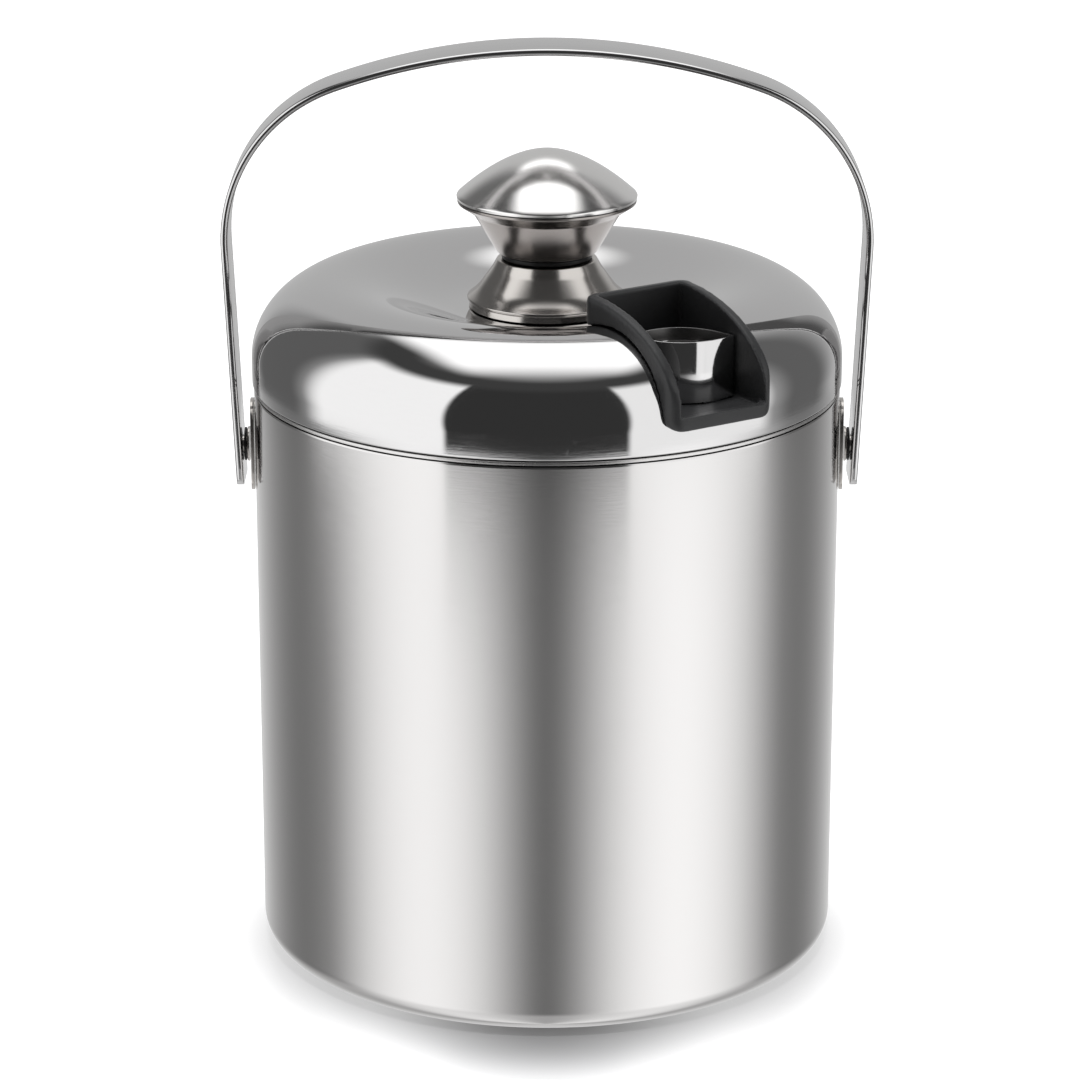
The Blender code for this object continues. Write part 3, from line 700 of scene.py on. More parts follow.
class BUCKET_OT_body(bpy.types.Operator):
    """Build the outer shell, the liner with its rolled rim, and the base disc"""
    bl_idname = "bucket.body"
    bl_label = "Body"

    def execute(self, context):
        body = sizes("body")
        shell = turned("outer_shell_skin",
                       rounded([(body.radius, body.shell_top, 0.0),
                                (body.radius, body.shell_top - 0.5 * MM, 0.0),
                                (body.radius, body.shell_top * 0.5, 0.0),
                                (body.radius, body.bottom_fillet + 0.5 * MM, 0.0),
                                (body.radius, 0.0, body.bottom_fillet),
                                (body.foot_inner, 0.0, 0.0)], step=math.radians(5.0)),
                       satin_steel(), body.segments, wall=body.sheet, edge=0.15 * MM)
        finish_piece(settle(shell), "bucket", ["outer_shell"])

        rim = body.rim
        liner = turned("chamber_liner",
                       rounded([(body.radius - 0.05 * MM, rim - 0.75 * MM, 0.0),
                                (body.radius - 0.05 * MM, rim, 0.35 * MM),
                                (body.chamber, rim, 1.2 * MM),
                                (body.chamber, body.floor, 9.0 * MM),
                                (0.0, body.floor, 0.0)])[::-1],
                       chamber_steel(), body.segments, wall=body.sheet * 0.85)
        finish_piece(settle(liner), "bucket", ["inner_liner"])

        disc_low = low("base_disc").z
        outer = high("base_disc").x
        disc = turned("base_disc_pressed",
                      rounded([(outer, disc_low, 0.0), (46.0 * MM, disc_low, 1.0 * MM),
                               (44.5 * MM, disc_low + 1.5 * MM, 1.0 * MM),
                               (24.0 * MM, disc_low + 1.5 * MM, 1.0 * MM),
                               (23.2 * MM, disc_low + 1.1 * MM, 1.0 * MM),
                               (0.0, disc_low + 1.1 * MM, 0.0)]),
                      chamber_steel(), 128, wall=body.sheet)
        finish_piece(settle(disc), "bucket", ["base_disc"])
        return {"FINISHED"}


# ---------------------------------------------------------------- bail and pivots

LEG_STEPS = 12
SHOULDER_STEPS = 28
CROWN_STEPS = 24


def bail_path(bail):
    """Middle of the strip from the left tail, over the crown, to the right tail."""
    lean = math.tan(bail.lean)
    top_centre = Vector((0.0, bail.top - bail.top_radius))
    inward = Vector((-math.cos(bail.lean), math.sin(bail.lean)))
    reach = bail.top_radius - bail.corner_radius

    def leg_point(height):
        return Vector((bail.leg + (height - bail.pivot) * lean, height))

    below, above = bail.pivot, bail.top
    for _ in range(50):
        middle = (below + above) / 2.0
        corner_centre = leg_point(middle) + inward * bail.corner_radius
        if (corner_centre - top_centre).length > reach:
            above = middle
        else:
            below = middle
    corner_centre = leg_point(below) + inward * bail.corner_radius
    inset = bail.thickness / 2.0
    points = [leg_point(bail.tail + (below - bail.tail) * part / LEG_STEPS) + inward * inset
              for part in range(LEG_STEPS)]
    away = corner_centre - top_centre
    last = math.atan2(away.y, away.x)
    for number in range(SHOULDER_STEPS + 1):
        angle = -bail.lean + (last + bail.lean) * number / SHOULDER_STEPS
        points.append(corner_centre + (bail.corner_radius - inset)
                      * Vector((math.cos(angle), math.sin(angle))))
    for number in range(1, CROWN_STEPS + 1):
        angle = last + (math.pi / 2.0 - last) * number / CROWN_STEPS
        points.append(top_centre + (bail.top_radius - inset)
                      * Vector((math.cos(angle), math.sin(angle))))
    return [Vector((-x, y)) for x, y in points] + list(reversed(points[:-1]))


def geometry_group(name, inputs):
    """A Geometry Nodes tree with a geometry in and out, and named inputs."""
    return new_group(name, [("Geometry", "NodeSocketGeometry", None), *inputs],
                     [("Geometry", "NodeSocketGeometry")], "GeometryNodeTree")


def give_out(work, given, out, geometry):
    """Makes a tree's geometry real, puts its material on it and passes it out."""
    realized = work.add("GeometryNodeRealizeInstances")
    work.link(geometry, realized.inputs[0])
    finish = work.add("GeometryNodeSetMaterial")
    work.link(realized.outputs[0], finish.inputs["Geometry"])
    work.link(given["Material"], finish.inputs["Material"])
    work.link(finish.outputs[0], out["Geometry"])
    return work.tree


def with_nodes(piece, tree, **values):
    """Adds a tree as a modifier and sets its inputs by their identifiers."""
    made = piece.modifiers.new(tree.name, "NODES")
    made.node_group = tree
    for item in tree.interface.items_tree:
        if item.in_out == "INPUT" and item.name in values:
            made[item.identifier] = values[item.name]
    return made


def swept_strip_tree():
    """A flat strip with rounded edges, swept along the mesh's edges."""
    work, given, out = geometry_group("swept_strip", [
        ("Width", "NodeSocketFloat", 0.015), ("Thickness", "NodeSocketFloat", 0.0017),
        ("Edge", "NodeSocketFloat", 0.0004), ("Material", "NodeSocketMaterial", None)])
    rail = work.add("GeometryNodeMeshToCurve")
    work.link(given["Geometry"], rail.inputs["Mesh"])
    upright = work.add("GeometryNodeSetCurveNormal", mode="MINIMUM_TWIST")
    work.link(rail.outputs[0], upright.inputs["Curve"])
    section = work.add("GeometryNodeCurvePrimitiveQuadrilateral")
    work.link(given["Width"], section.inputs["Width"])
    work.link(given["Thickness"], section.inputs["Height"])
    round_edge = work.add("GeometryNodeFilletCurve")
    round_edge.mode = "POLY"
    work.link(section.outputs[0], round_edge.inputs["Curve"])
    work.link(given["Edge"], round_edge.inputs["Radius"])
    round_edge.inputs["Count"].default_value = 7
    sweep = work.add("GeometryNodeCurveToMesh")
    work.link(upright.outputs[0], sweep.inputs["Curve"])
    work.link(round_edge.outputs[0], sweep.inputs["Profile Curve"])
    sweep.inputs["Fill Caps"].default_value = True
    return give_out(work, given, out, sweep.outputs[0])


def both_sides_tree():
    """The piece made for the right pivot, and a copy turned round the Z axis for the left."""
    work, given, out = geometry_group("both_sides", [
        ("Sides", "NodeSocketInt", 2), ("Material", "NodeSocketMaterial", None)])
    points = work.add("GeometryNodePoints")
    work.link(given["Sides"], points.inputs["Count"])
    index = work.add("GeometryNodeInputIndex")
    turn = work.add("ShaderNodeMath", operation="MULTIPLY")
    work.link(index.outputs[0], turn.inputs[0])
    turn.inputs[1].default_value = math.pi
    angles = work.add("ShaderNodeCombineXYZ")
    work.link(turn.outputs[0], angles.inputs["Z"])
    rotation = work.add("FunctionNodeEulerToRotation")
    work.link(angles.outputs[0], rotation.inputs[0])
    copies = work.add("GeometryNodeInstanceOnPoints")
    work.link(points.outputs[0], copies.inputs["Points"])
    work.link(given["Geometry"], copies.inputs["Instance"])
    work.link(rotation.outputs[0], copies.inputs["Rotation"])
    return give_out(work, given, out, copies.outputs[0])


def outward(piece):
    """Turns every face of a closed mesh to point outwards."""
    shape = bmesh.new()
    shape.from_mesh(piece.data)
    bmesh.ops.remove_doubles(shape, verts=shape.verts, dist=0.000001)
    bmesh.ops.recalc_face_normals(shape, faces=shape.faces)
    shape.to_mesh(piece.data)
    shape.free()
    return piece


class BUCKET_OT_bail(bpy.types.Operator):
    """Build the bail's strip by sweeping it along its path, with its pivot holes"""
    bl_idname = "bucket.bail"
    bl_label = "Bail"

    def execute(self, context):
        bail = sizes("bail")
        path = bail_path(bail)
        mesh = bpy.data.meshes.new("bail_path")
        mesh.from_pydata([(x, 0.0, z) for x, z in path],
                         [(index, index + 1) for index in range(len(path) - 1)], [])
        strip = new_object("bail_polished", mesh, strip_steel())
        with_nodes(strip, swept_strip_tree(), Width=bail.width, Thickness=bail.thickness,
                   Edge=bail.edge, Material=strip_steel())
        outward(settle(strip))

        corner = 2.5 * MM
        beyond_crown = 20.0 * MM
        tall = bail.top - bail.tail + beyond_crown
        keep = prism("bail_side", rectangle(tall / 2.0, bail.width / 2.0 + 0.02 * MM, corner),
                     -10.0 * PAST, 10.0 * PAST)
        keep.rotation_euler = (0.0, RIGHT_ANGLE, 0.0)
        keep.location = (0.0, 0.0, bail.tail + tall / 2.0)
        settle(keep)
        combine(strip, keep, "INTERSECT")
        hole_radius, flare, reach = 2.3 * MM, 0.6 * MM, 6.0 * MM
        for sign in (-1, 1):
            hole = turned("bail_hole",
                          [Vector((0.0, reach)), Vector((hole_radius + flare, reach)),
                           Vector((hole_radius, 0.0)), Vector((hole_radius, -reach)),
                           Vector((0.0, -reach))], None, 48)
            hole.rotation_euler = (0.0, RIGHT_ANGLE * sign, 0.0)
            hole.location = (sign * bail.leg, 0.0, bail.pivot)
            combine(strip, settle(hole))
        finish_piece(strip, "bail", ["bail_strip"])
        return {"FINISHED"}


class BUCKET_OT_pivots(bpy.types.Operator):
    """Build the ear plates, flanged pins and washers, each as a pair"""
    bl_idname = "bucket.pivots"
    bl_label = "Pivots"

    def execute(self, context):
        bail = sizes("bail")
        pairs = both_sides_tree()
        pin_radius = 2.0 * MM
        flange = extent("pivot_pin_right", "y") / 2.0
        start, end = low("pivot_pin_right").x, high("pivot_pin_right").x
        pin = turned("pivot_pins",
                     rounded([(0.0, end + 0.1 * MM, 0.0), (pin_radius + 0.15 * MM, end, 0.3 * MM),
                              (pin_radius, end - 0.5 * MM, 0.0),
                              (pin_radius, start + 0.45 * MM, 0.1 * MM),
                              (flange, start + 0.45 * MM, 0.2 * MM), (flange, start, 0.0),
                              (0.0, start, 0.0)]),
                     shaded_knob_steel(), 48)
        self.lay_and_pair(pin, bail, pairs, shaded_knob_steel(), "bucket",
                          ["pivot_pin_left", "pivot_pin_right"], "mirror_steel")

        start, end = low("pivot_washer_right").x, high("pivot_washer_right").x
        outer = extent("pivot_washer_right", "y") / 2.0
        washer = ring("pivot_washers", outer, pin_radius + GAP, end, start, 0.15 * MM,
                      washer_nylon(), 48)
        self.lay_and_pair(washer, bail, pairs, washer_nylon(), "bail",
                          ["pivot_washer_left", "pivot_washer_right"], "black_nylon")

        height, width = extent("ear_plate_right", "z"), extent("ear_plate_right", "y")
        outer = high("ear_plate_right").x
        inner = outer - SHEET
        middle = halfway("ear_plate_right", "z")
        ear = turned("ear_plates",
                     [Vector((outer, middle + height)), Vector((outer, middle - height)),
                      Vector((inner, middle - height)), Vector((inner, middle + height))],
                     shaded_knob_steel(), 512, closed=True)
        settle(ear)
        blank = prism("ear_blank", rectangle(height / 2.0, width / 2.0, width / 2.0 - 0.1 * MM),
                      outer - 8.0 * MM, outer + 8.0 * MM)
        blank.rotation_euler = (0.0, RIGHT_ANGLE, 0.0)
        blank.location = (0.0, 0.0, middle)
        combine(ear, settle(blank), "INTERSECT")
        soften(ear, 0.25 * MM, segments=3)
        with_nodes(ear, pairs, Sides=2, Material=shaded_knob_steel())
        finish_piece(settle(ear), "bucket", ["ear_plate_left", "ear_plate_right"])
        return {"FINISHED"}

    def lay_and_pair(self, piece, bail, pairs, finish, body, nodes, slot):
        """Lays a turned piece along the pivot's axis and makes the pair."""
        piece.rotation_euler = (0.0, RIGHT_ANGLE, 0.0)
        piece.location = (0.0, 0.0, bail.pivot)
        settle(piece)
        with_nodes(piece, pairs, Sides=2, Material=finish)
        finish_piece(settle(piece), body, nodes)


# ---------------------------------------------------------------- lid

DISH_STEPS = 24


def dome_outline(lid):
    """Outside of the lid from the knob's seat, over the crest, to the edge."""
    screw_hole = 3.0 * MM
    points = [Vector((screw_hole, lid.dish))]
    rise = lid.crest - lid.dish
    span = lid.crest_radius - lid.dish_radius
    for number in range(DISH_STEPS + 1):
        part = number / DISH_STEPS
        points.append(Vector((lid.dish_radius + span * part,
                              lid.dish + rise * (0.5 - 0.5 * math.cos(math.pi * part)))))
    points += ellipse_arc((lid.crest_radius, lid.side), lid.radius - lid.crest_radius,
                          lid.crest - lid.side, 90.0, 0.0, 40)[1:]
    return points


def holder_turn(holder):
    """Turns the holder's own u, v and height into the world."""
    return Matrix.Rotation(holder.azimuth - math.pi / 2.0, 4, "Z")


def holder_block(name, half_width, side_outline, holder, finish=None):
    """A side outline (u, height) drawn across the holder's width."""
    made = prism(name, side_outline, -half_width, half_width, finish)
    made.data.transform(holder_turn(holder) @ Matrix.Rotation(math.pi / 2.0, 4, "X"))
    return made


def tongs_middle():
    return (low("tong_head") + high("tong_head")) / 2.0


CHUTE_HALF_X = 5.1 * MM
CHUTE_HALF_Y = 5.6 * MM
CHUTE_WALL = 1.1 * MM
CHUTE_CORNER = 2.4 * MM


def round_chute(wall, corner):
    """Outline at a distance round the space that the tongs' arms pass through."""
    return rectangle(CHUTE_HALF_X + wall, CHUTE_HALF_Y + wall, corner, tongs_middle().xy)


class BUCKET_OT_lid(bpy.types.Operator):
    """Build the lid's dome with its window, and the pan under it"""
    bl_idname = "bucket.lid"
    bl_label = "Lid"

    def execute(self, context):
        lid = sizes("lid")
        holder = sizes("holder")
        body = sizes("body")
        outline = dome_outline(lid)
        outline += [Vector((lid.radius, lid.edge + 1.2 * MM)),
                    Vector((lid.radius, lid.edge + 0.6 * MM))]
        outline += rounded([(lid.radius, lid.edge + 0.6 * MM, 0.0),
                            (lid.radius, lid.edge, 0.4 * MM),
                            (lid.radius - 1.0 * MM, lid.edge, 0.0)])[1:]
        dome = turned("lid_dome_polished", outline, lid_steel(), body.segments + 48,
                      wall=SHEET)
        settle(dome)
        inset = 1.7 * MM
        sill = holder.lip_bottom + 2.0 * GAP
        above, below = lid.crest + 4.0 * PAST, lid.edge - 2.0 * PAST
        sill_start = lid.radius - 5.0 * MM
        side = [Vector((holder.back + inset, above)), Vector((holder.back + inset, below)),
                Vector((sill_start, below)), Vector((sill_start, sill)),
                Vector((LID_OUTSIDE, sill)), Vector((LID_OUTSIDE, above))]
        window = holder_block("lid_window", holder.half_width - inset, side, holder)
        combine(dome, settle(window, sharp=0.0))
        finish_piece(dome, "lid", ["lid_dome"])

        flange = high("lid_inner_pan").x
        pan = turned("lid_pan_pressed",
                     rounded([(SCREW_BORE, lid.plug_bottom, 0.0),
                              (40.0 * MM, lid.plug_bottom, 0.0),
                              (lid.plug, lid.plug_bottom, 2.0 * MM),
                              (lid.plug, lid.edge, 1.0 * MM),
                              (flange, lid.edge, 0.0)])[::-1],
                     chamber_steel(), body.segments, wall=SHEET)
        settle(pan)
        opening = prism("pan_window", round_chute(CHUTE_WALL + GAP, CHUTE_CORNER + GAP),
                        lid.plug_bottom - PAST, lid.plug_bottom + PAST / 2.0)
        combine(pan, opening)
        finish_piece(pan, "lid", ["lid_inner_pan"])
        return {"FINISHED"}


# ---------------------------------------------------------------- knob

def foot_outline(knob, bottom):
    """The bell-shaped foot: flat top, flare, rolled edge and a short skirt under it."""
    edge = bottom + 2.2 * MM
    return rounded([(SCREW_BORE, knob.foot_top, 0.0), (knob.neck, knob.foot_top, 0.5 * MM),
                    (knob.neck + 1.2 * MM, knob.foot_top - 2.2 * MM, 9.0 * MM),
                    (knob.foot - 2.2 * MM, edge + 1.7 * MM, 12.0 * MM),
                    (knob.foot, edge, 0.35 * MM),
                    (knob.foot - 0.1 * MM, edge - 0.6 * MM, 0.25 * MM),
                    (knob.foot - 0.9 * MM, edge - 0.8 * MM, 0.2 * MM),
                    (knob.foot - 0.6 * MM, bottom + 0.5 * MM, 0.0),
                    (knob.foot - 0.45 * MM, bottom, 0.0)], step=math.radians(3.0))


def cap_outline(knob):
    """The cap's crown and its rounded rim."""
    edge = low("knob_cap").z
    start = edge + 0.9 * MM
    steps = 40
    crown_share = 0.992
    points = []
    for number in range(steps):
        part = number / steps
        height = start + (knob.top - start) * (1.0 - part ** knob.crown)
        points.append(Vector((knob.radius * part * crown_share, height)))
    points += rounded([(knob.radius * crown_share, start, 0.0),
                       (knob.radius, start - 0.25 * MM, 0.2 * MM),
                       (knob.radius - 0.1 * MM, edge, 0.0)])
    return points


class BUCKET_OT_knob(bpy.types.Operator):
    """Build the knob's foot, gasket, cone and cap, and the screw that holds them"""
    bl_idname = "bucket.knob"
    bl_label = "Knob"

    def execute(self, context):
        knob = sizes("knob")
        foot = turned("knob_foot_spun", foot_outline(knob, low("knob_foot").z), shaded_knob_steel(),
                      128, wall=SHEET)
        finish_piece(settle(foot), "lid", ["knob_foot"])

        gasket = ring("knob_gasket_disc", high("knob_gasket").x, SCREW_BORE,
                      high("knob_gasket").z, low("knob_gasket").z, 0.2 * MM, washer_nylon(), 96)
        finish_piece(settle(gasket), "lid", ["knob_gasket"])

        base = high("inner_liner").z
        cone = turned("knob_cone_spun",
                      rounded([(knob.radius - 0.2 * MM, knob.crease, 0.0),
                               (knob.radius - 0.2 * MM, knob.crease - 0.6 * MM, 0.3 * MM),
                               (17.6 * MM, base + 40.9 * MM, 2.5 * MM),
                               (knob.neck, knob.cone_bottom, 0.8 * MM),
                               (SCREW_BORE, knob.cone_bottom, 0.0)], step=math.radians(5.0)),
                      shaded_cone_steel(), 128, wall=SHEET)
        finish_piece(settle(cone), "lid", ["knob_cone"])

        cap = turned("knob_cap_spun", cap_outline(knob), lit_cap_steel(), 128, wall=SHEET)
        finish_piece(settle(cap, sharp=45.0), "lid", ["knob_cap"])
        self.make_fixings()
        return {"FINISHED"}

    def make_fixings(self):
        """Screw, sealing washer, spacer sleeve and nut on the knob's axis."""
        rings = (("knob_screw_washer", "sealing_washer", washer_silicone(), "grey_silicone", 64),
                 ("spacer_sleeve", "spacer_tube", hardware_steel(), "raw_steel", 64),
                 ("knob_nut", "knob_nut_hex", hardware_steel(), "raw_steel", 6))
        for node, name, finish, slot, segments in rings:
            piece = ring(name, high(node).x, SCREW_BORE, high(node).z, low(node).z, 0.25 * MM,
                         finish, segments)
            finish_piece(settle(piece), "lid", [node])

        top, bottom = high("knob_screw").z, low("knob_screw").z
        head = high("knob_screw").x
        shank = 2.0 * MM
        head_top = bottom + 2.2 * MM
        plain_shank = 8.0 * MM
        thread_depth = 0.28 * MM
        outline = [Vector((0.0, top)), Vector((shank - 0.5 * MM, top)),
                   Vector((shank, top - 0.5 * MM))]
        pitch = 0.7 * MM
        turns = int((top - head_top - plain_shank) / pitch)
        for number in range(turns):
            start = top - 0.6 * MM - number * pitch
            outline += [Vector((shank - thread_depth, start - 0.45 * pitch)),
                        Vector((shank, start - 0.9 * pitch))]
        outline += rounded([(shank, head_top + 5.0 * MM, 0.0), (shank, head_top, 0.1 * MM),
                            (head, head_top, 0.2 * MM), (head, head_top - 0.6 * MM, 0.3 * MM),
                            (head * 0.55, bottom, 1.5 * MM), (0.0, bottom, 0.0)])
        screw = turned("knob_screw_threaded", outline, hardware_steel(), 48)
        settle(screw)
        arm, narrow = 1.9 * MM, 0.4 * MM
        for size in ((arm, narrow), (narrow, arm)):
            recess = prism("screw_recess", rectangle(*size, 0.1 * MM),
                           bottom - 1.0 * MM, bottom + 1.2 * MM)
            combine(screw, recess)
        finish_piece(screw, "lid", ["knob_screw"])


# ---------------------------------------------------------------- tong holder

def holder_side(back, front, top, bottom, lip_top):
    """Side outline of the holder: back wall, curved saddle and front lip."""
    flat_top = 2.0 * MM
    saddle = ellipse_arc((back + flat_top, lip_top), front - back - flat_top, top - lip_top,
                         0.0, 90.0, 36)
    return ([Vector((back, bottom)), Vector((front, bottom))] + saddle
            + [Vector((back, top - 0.4 * MM))])


class BUCKET_OT_holder(bpy.types.Operator):
    """Build the moulded tong holder, rounded all over, and its collar"""
    bl_idname = "bucket.holder"
    bl_label = "Tong holder"

    def execute(self, context):
        holder = sizes("holder")
        lid = sizes("lid")
        plan_corner, low_corner, recess_corner = 3.6 * MM, 3.2 * MM, 1.8 * MM
        rim_voxel, rim_passes, last_passes = 0.45 * MM, 24, 6
        rim = holder_block("tong_holder_moulded", holder.half_width,
                           holder_side(holder.back, holder.front, holder.top,
                                       holder.lip_bottom, holder.lip_top + 1.0 * MM),
                           holder, holder_plastic())
        centre = (holder.front + holder.back) / 2.0
        plan = prism("holder_plan", rectangle((holder.front - holder.back) / 2.0,
                                              holder.half_width, plan_corner, (centre, 0.0)),
                     lid.edge - 2.0 * PAST, holder.top + 2.0 * PAST)
        plan.data.transform(holder_turn(holder))
        combine(rim, plan, "INTERSECT")
        tall = holder.top + 2.0 * PAST
        face = prism("holder_face",
                     rounded([(-holder.half_width, tall, 0.0),
                              (-holder.half_width, holder.lip_bottom, low_corner),
                              (holder.half_width, holder.lip_bottom, low_corner),
                              (holder.half_width, tall, 0.0)], closed=True),
                     holder.back - PAST, holder.front + PAST)
        # Swaps the axes, so that the face looks along the holder.
        lengthwise = Matrix(((0, 0, 1, 0), (1, 0, 0, 0), (0, 1, 0, 0), (0, 0, 0, 1)))
        face.data.transform(holder_turn(holder) @ lengthwise)
        combine(rim, face, "INTERSECT")
        mould_round(rim, rim_voxel, rim_passes)
        settle(rim)

        bed = [Vector((0.0, lid.dish + GAP))]
        for radius, height in dome_outline(lid)[1:]:
            bed.append(Vector((radius + GAP, height + (GAP if height > lid.side else 0.0))))
        below = lid.edge - 2.0 * PAST
        bed += [Vector((lid.radius + GAP, below)), Vector((0.0, below))]
        combine(rim, settle(turned("dome_bed", bed, None, 192), sharp=0.0))

        inset = 2.0 * MM
        body = holder_block("holder_body", holder.half_width - inset,
                            holder_side(holder.back + inset, holder.front - 1.0 * MM,
                                        holder.top - 1.0 * MM, holder.floor - 1.6 * MM,
                                        holder.lip_top + 0.5 * MM), holder)
        combine(rim, body, "UNION")
        chute_bottom = low("tong_holder").z
        chute = prism("holder_chute", round_chute(CHUTE_WALL, CHUTE_CORNER),
                      chute_bottom, holder.floor - 0.5 * MM)
        combine(rim, chute, "UNION")

        back = holder.back + holder.wall + 0.4 * MM
        front = holder.front - holder.wall
        above = holder.top + 3.0 * PAST
        recess = holder_block("holder_recess", holder.half_width - holder.wall,
                              [Vector((back, above)), Vector((back, holder.floor)),
                               Vector((front, holder.floor)), Vector((front, holder.lip_top)),
                               Vector((LID_OUTSIDE, holder.lip_top)),
                               Vector((LID_OUTSIDE, above))], holder)
        soften(recess, recess_corner, segments=4, angle=60.0)
        combine(rim, settle(recess))
        slot = prism("holder_slot", round_chute(0.0, 1.0 * MM), chute_bottom - PAST,
                     holder.floor + PAST)
        combine(rim, slot)

        mould_round(rim, holder.voxel, last_passes)
        finish_piece(settle(rim, sharp=0.0), "lid", ["tong_holder"])
        rim.data.shade_smooth()

        top, bottom = high("holder_collar").z, low("holder_collar").z
        flange = 1.5 * MM
        collar = prism("holder_collar_moulded",
                       round_chute(CHUTE_WALL + GAP + flange, CHUTE_CORNER + flange),
                       bottom, top, holder_plastic())
        bore = prism("collar_bore", round_chute(CHUTE_WALL + GAP, CHUTE_CORNER + GAP),
                     bottom - PAST, top + PAST)
        combine(collar, bore)
        soften(collar, 0.35 * MM, segments=3)
        finish_piece(settle(collar), "lid", ["holder_collar"])
        return {"FINISHED"}


# ---------------------------------------------------------------- tongs

LENS_FULLNESS = 2.2


def lens_depth(part, half_depth):
    """Half depth of the lens at a part of its half length."""
    return half_depth * (1.0 - abs(part) ** LENS_FULLNESS)


def lens_ring(half_length, half_depth, middle, count=40):
    """Outline of the lens-shaped head round its middle."""
    side = []
    for number in range(count):
        part = -1.0 + 2.0 * number / count
        side.append(Vector((half_length * part, -lens_depth(part, half_depth))))
    ring = side + [Vector((-x, -y)) for x, y in side]
    return [Vector((x + middle.x, y + middle.y)) for x, y in ring]


class BUCKET_OT_tongs(bpy.types.Operator):
    """Build the tongs' bright head band and the two clawed arms"""
    bl_idname = "bucket.tongs"
    bl_label = "Tongs"

    def execute(self, context):
        tongs = sizes("tongs")
        middle = tongs_middle()
        bottom, top = low("tong_head").z, high("tong_head").z
        head = prism("tongs_head_band", lens_ring(tongs.half_length, tongs.half_depth, middle),
                     bottom, top, strip_steel())
        hollow = prism("head_hollow",
                       lens_ring(tongs.half_length - 2.0 * tongs.sheet,
                                 tongs.half_depth - tongs.sheet, middle),
                       bottom - PAST, top + PAST)
        combine(head, hollow)
        settle(head)
        # The inner faces take the dark steel whose tint paints the shade inside the band.
        head.data.materials.append(shaded_inside_steel())
        for face in head.data.polygons:
            from_middle = face.center.xy - middle.xy
            if abs(face.normal.z) < 0.5 and face.normal.xy.dot(from_middle) < 0.0:
                face.material_index = 1
        soften(head, 0.14 * MM, segments=2, angle=55.0)
        finish_piece(settle(head, sharp=40.0), "tongs", ["tong_head"])
        for side, sign in (("front", -1), ("back", 1)):
            self.make_arm(tongs, middle, side, sign)
        return {"FINISHED"}

    def make_arm(self, tongs, middle, side, sign):
        """A bowed arm that joggles in under the head and ends in a toothed claw."""
        node = f"tong_arm_{side}"
        top, bottom = high(node).z, low(node).z
        half_width = extent(node, "x") / 2.0
        floor = sizes("holder").floor
        joggle = 3.0 * MM
        straight = 0.6 * MM
        play = 0.45 * MM
        tooth = 1.8 * MM
        columns, teeth = 24, 3
        bow_rows, claw_rows = 8, 12
        top_depth = tongs.half_depth - tongs.sheet - play
        hollow_half = tongs.half_length - 2.0 * tongs.sheet
        claw_top = bottom + tongs.claw
        heights = [top, top - 4.0 * MM, floor + joggle + straight, floor + joggle,
                   floor + joggle * 0.5, floor, floor - straight]
        heights += [floor + (claw_top - floor) * part / bow_rows
                    for part in range(1, bow_rows + 1)]
        heights += [claw_top - tongs.claw * number / claw_rows
                    for number in range(1, claw_rows + 1)]
        rows = []
        for height in heights:
            into_claw = max(0.0, (claw_top - height) / tongs.claw)
            drop = min(1.0, max(0.0, (floor + joggle - height) / joggle))
            drop = drop * drop * (3.0 - 2.0 * drop)
            reach = top_depth + (tongs.arm_depth - top_depth) * drop
            row = []
            for column in range(columns + 1):
                part = 2.0 * column / columns - 1.0
                x = half_width * part
                depth = reach * lens_depth(x / hollow_half, 1.0)
                depth -= tongs.curl * into_claw ** 2
                wave = abs(((column * teeth / columns) % 1.0) - 0.5) * 2.0
                row.append((middle.x + x, middle.y + sign * depth,
                            height + (1.0 - wave) * tooth * into_claw ** 3))
            rows.append(row)
        mesh = bpy.data.meshes.new(node)
        across = columns + 1
        faces = []
        for row in range(len(rows) - 1):
            for column in range(columns):
                first = row * across + column
                faces.append((first, first + 1, first + across + 1, first + across))
        mesh.from_pydata([point for row in rows for point in row], [], faces)
        arm = new_object(f"tongs_arm_{side}", mesh, strip_steel())
        sheet = arm.modifiers.new("sheet", "SOLIDIFY")
        sheet.thickness = tongs.arm_sheet
        sheet.offset = -sign
        sheet.use_even_offset = True
        soften(arm, 0.2 * MM, segments=2, angle=60.0)
        finish_piece(settle(arm), f"{side}_arm", [node])


# ---------------------------------------------------------------- stage

# Soft boxes and dark flags that stand round the bucket. Each has its centre, half-width and
# soft edge in degrees from the front, and its brightness. Later ones stand before earlier ones.
BODY_BACKDROP = 0.5
BODY_PANELS = {"left_flag": (-115, 0, 60, 0.16), "right_flag": (118, 0, 55, 0.17),
               "gap_behind_camera": (0, 0, 45, 0.14),
               "left_soft_box": (-50, 0, 50, 0.9), "right_soft_box": (54, 0, 55, 0.95)}
LID_BACKDROP = 0.38
LID_PANELS = {"left_flag": (-128, 12, 20, 0.1), "right_flag": (118, 8, 22, 0.11),
              "left_soft_box": (-68, 26, 14, 0.92), "right_soft_box": (60, 28, 10, 0.83),
              "gap_behind_camera": (-4, 34, 3, 0.03)}

# Where the body's ring gives way to the lid's, as the sine of the direction's elevation, and
# how much that change tilts from front to back.
RING_TILT = -0.011
RING_CHANGE = (-0.2835, -0.2805)
# Elevations in degrees: the rings end, and the dark gap round the overhead panel brightens.
RING_FADE = (45.0, 54.0)
OVERHEAD_GAP = (60.0, 80.0)
GAP_LEVELS = (0.045, 0.4)
# Light from the floor, by the sine of the elevation below the horizon.
GROUND_SINES = (-0.46, -0.7)
GROUND_SHARE = 0.5
GROUND_LEVEL = 0.55
# Soft edges of the overhead panel, as slopes away from straight up.
PANEL_SIDES = (0.50, 0.30)
PANEL_FRONT = (-0.40, 0.06)
PANEL_BACK = (1.0, 0.72)
PANEL_LEVEL = 1.15


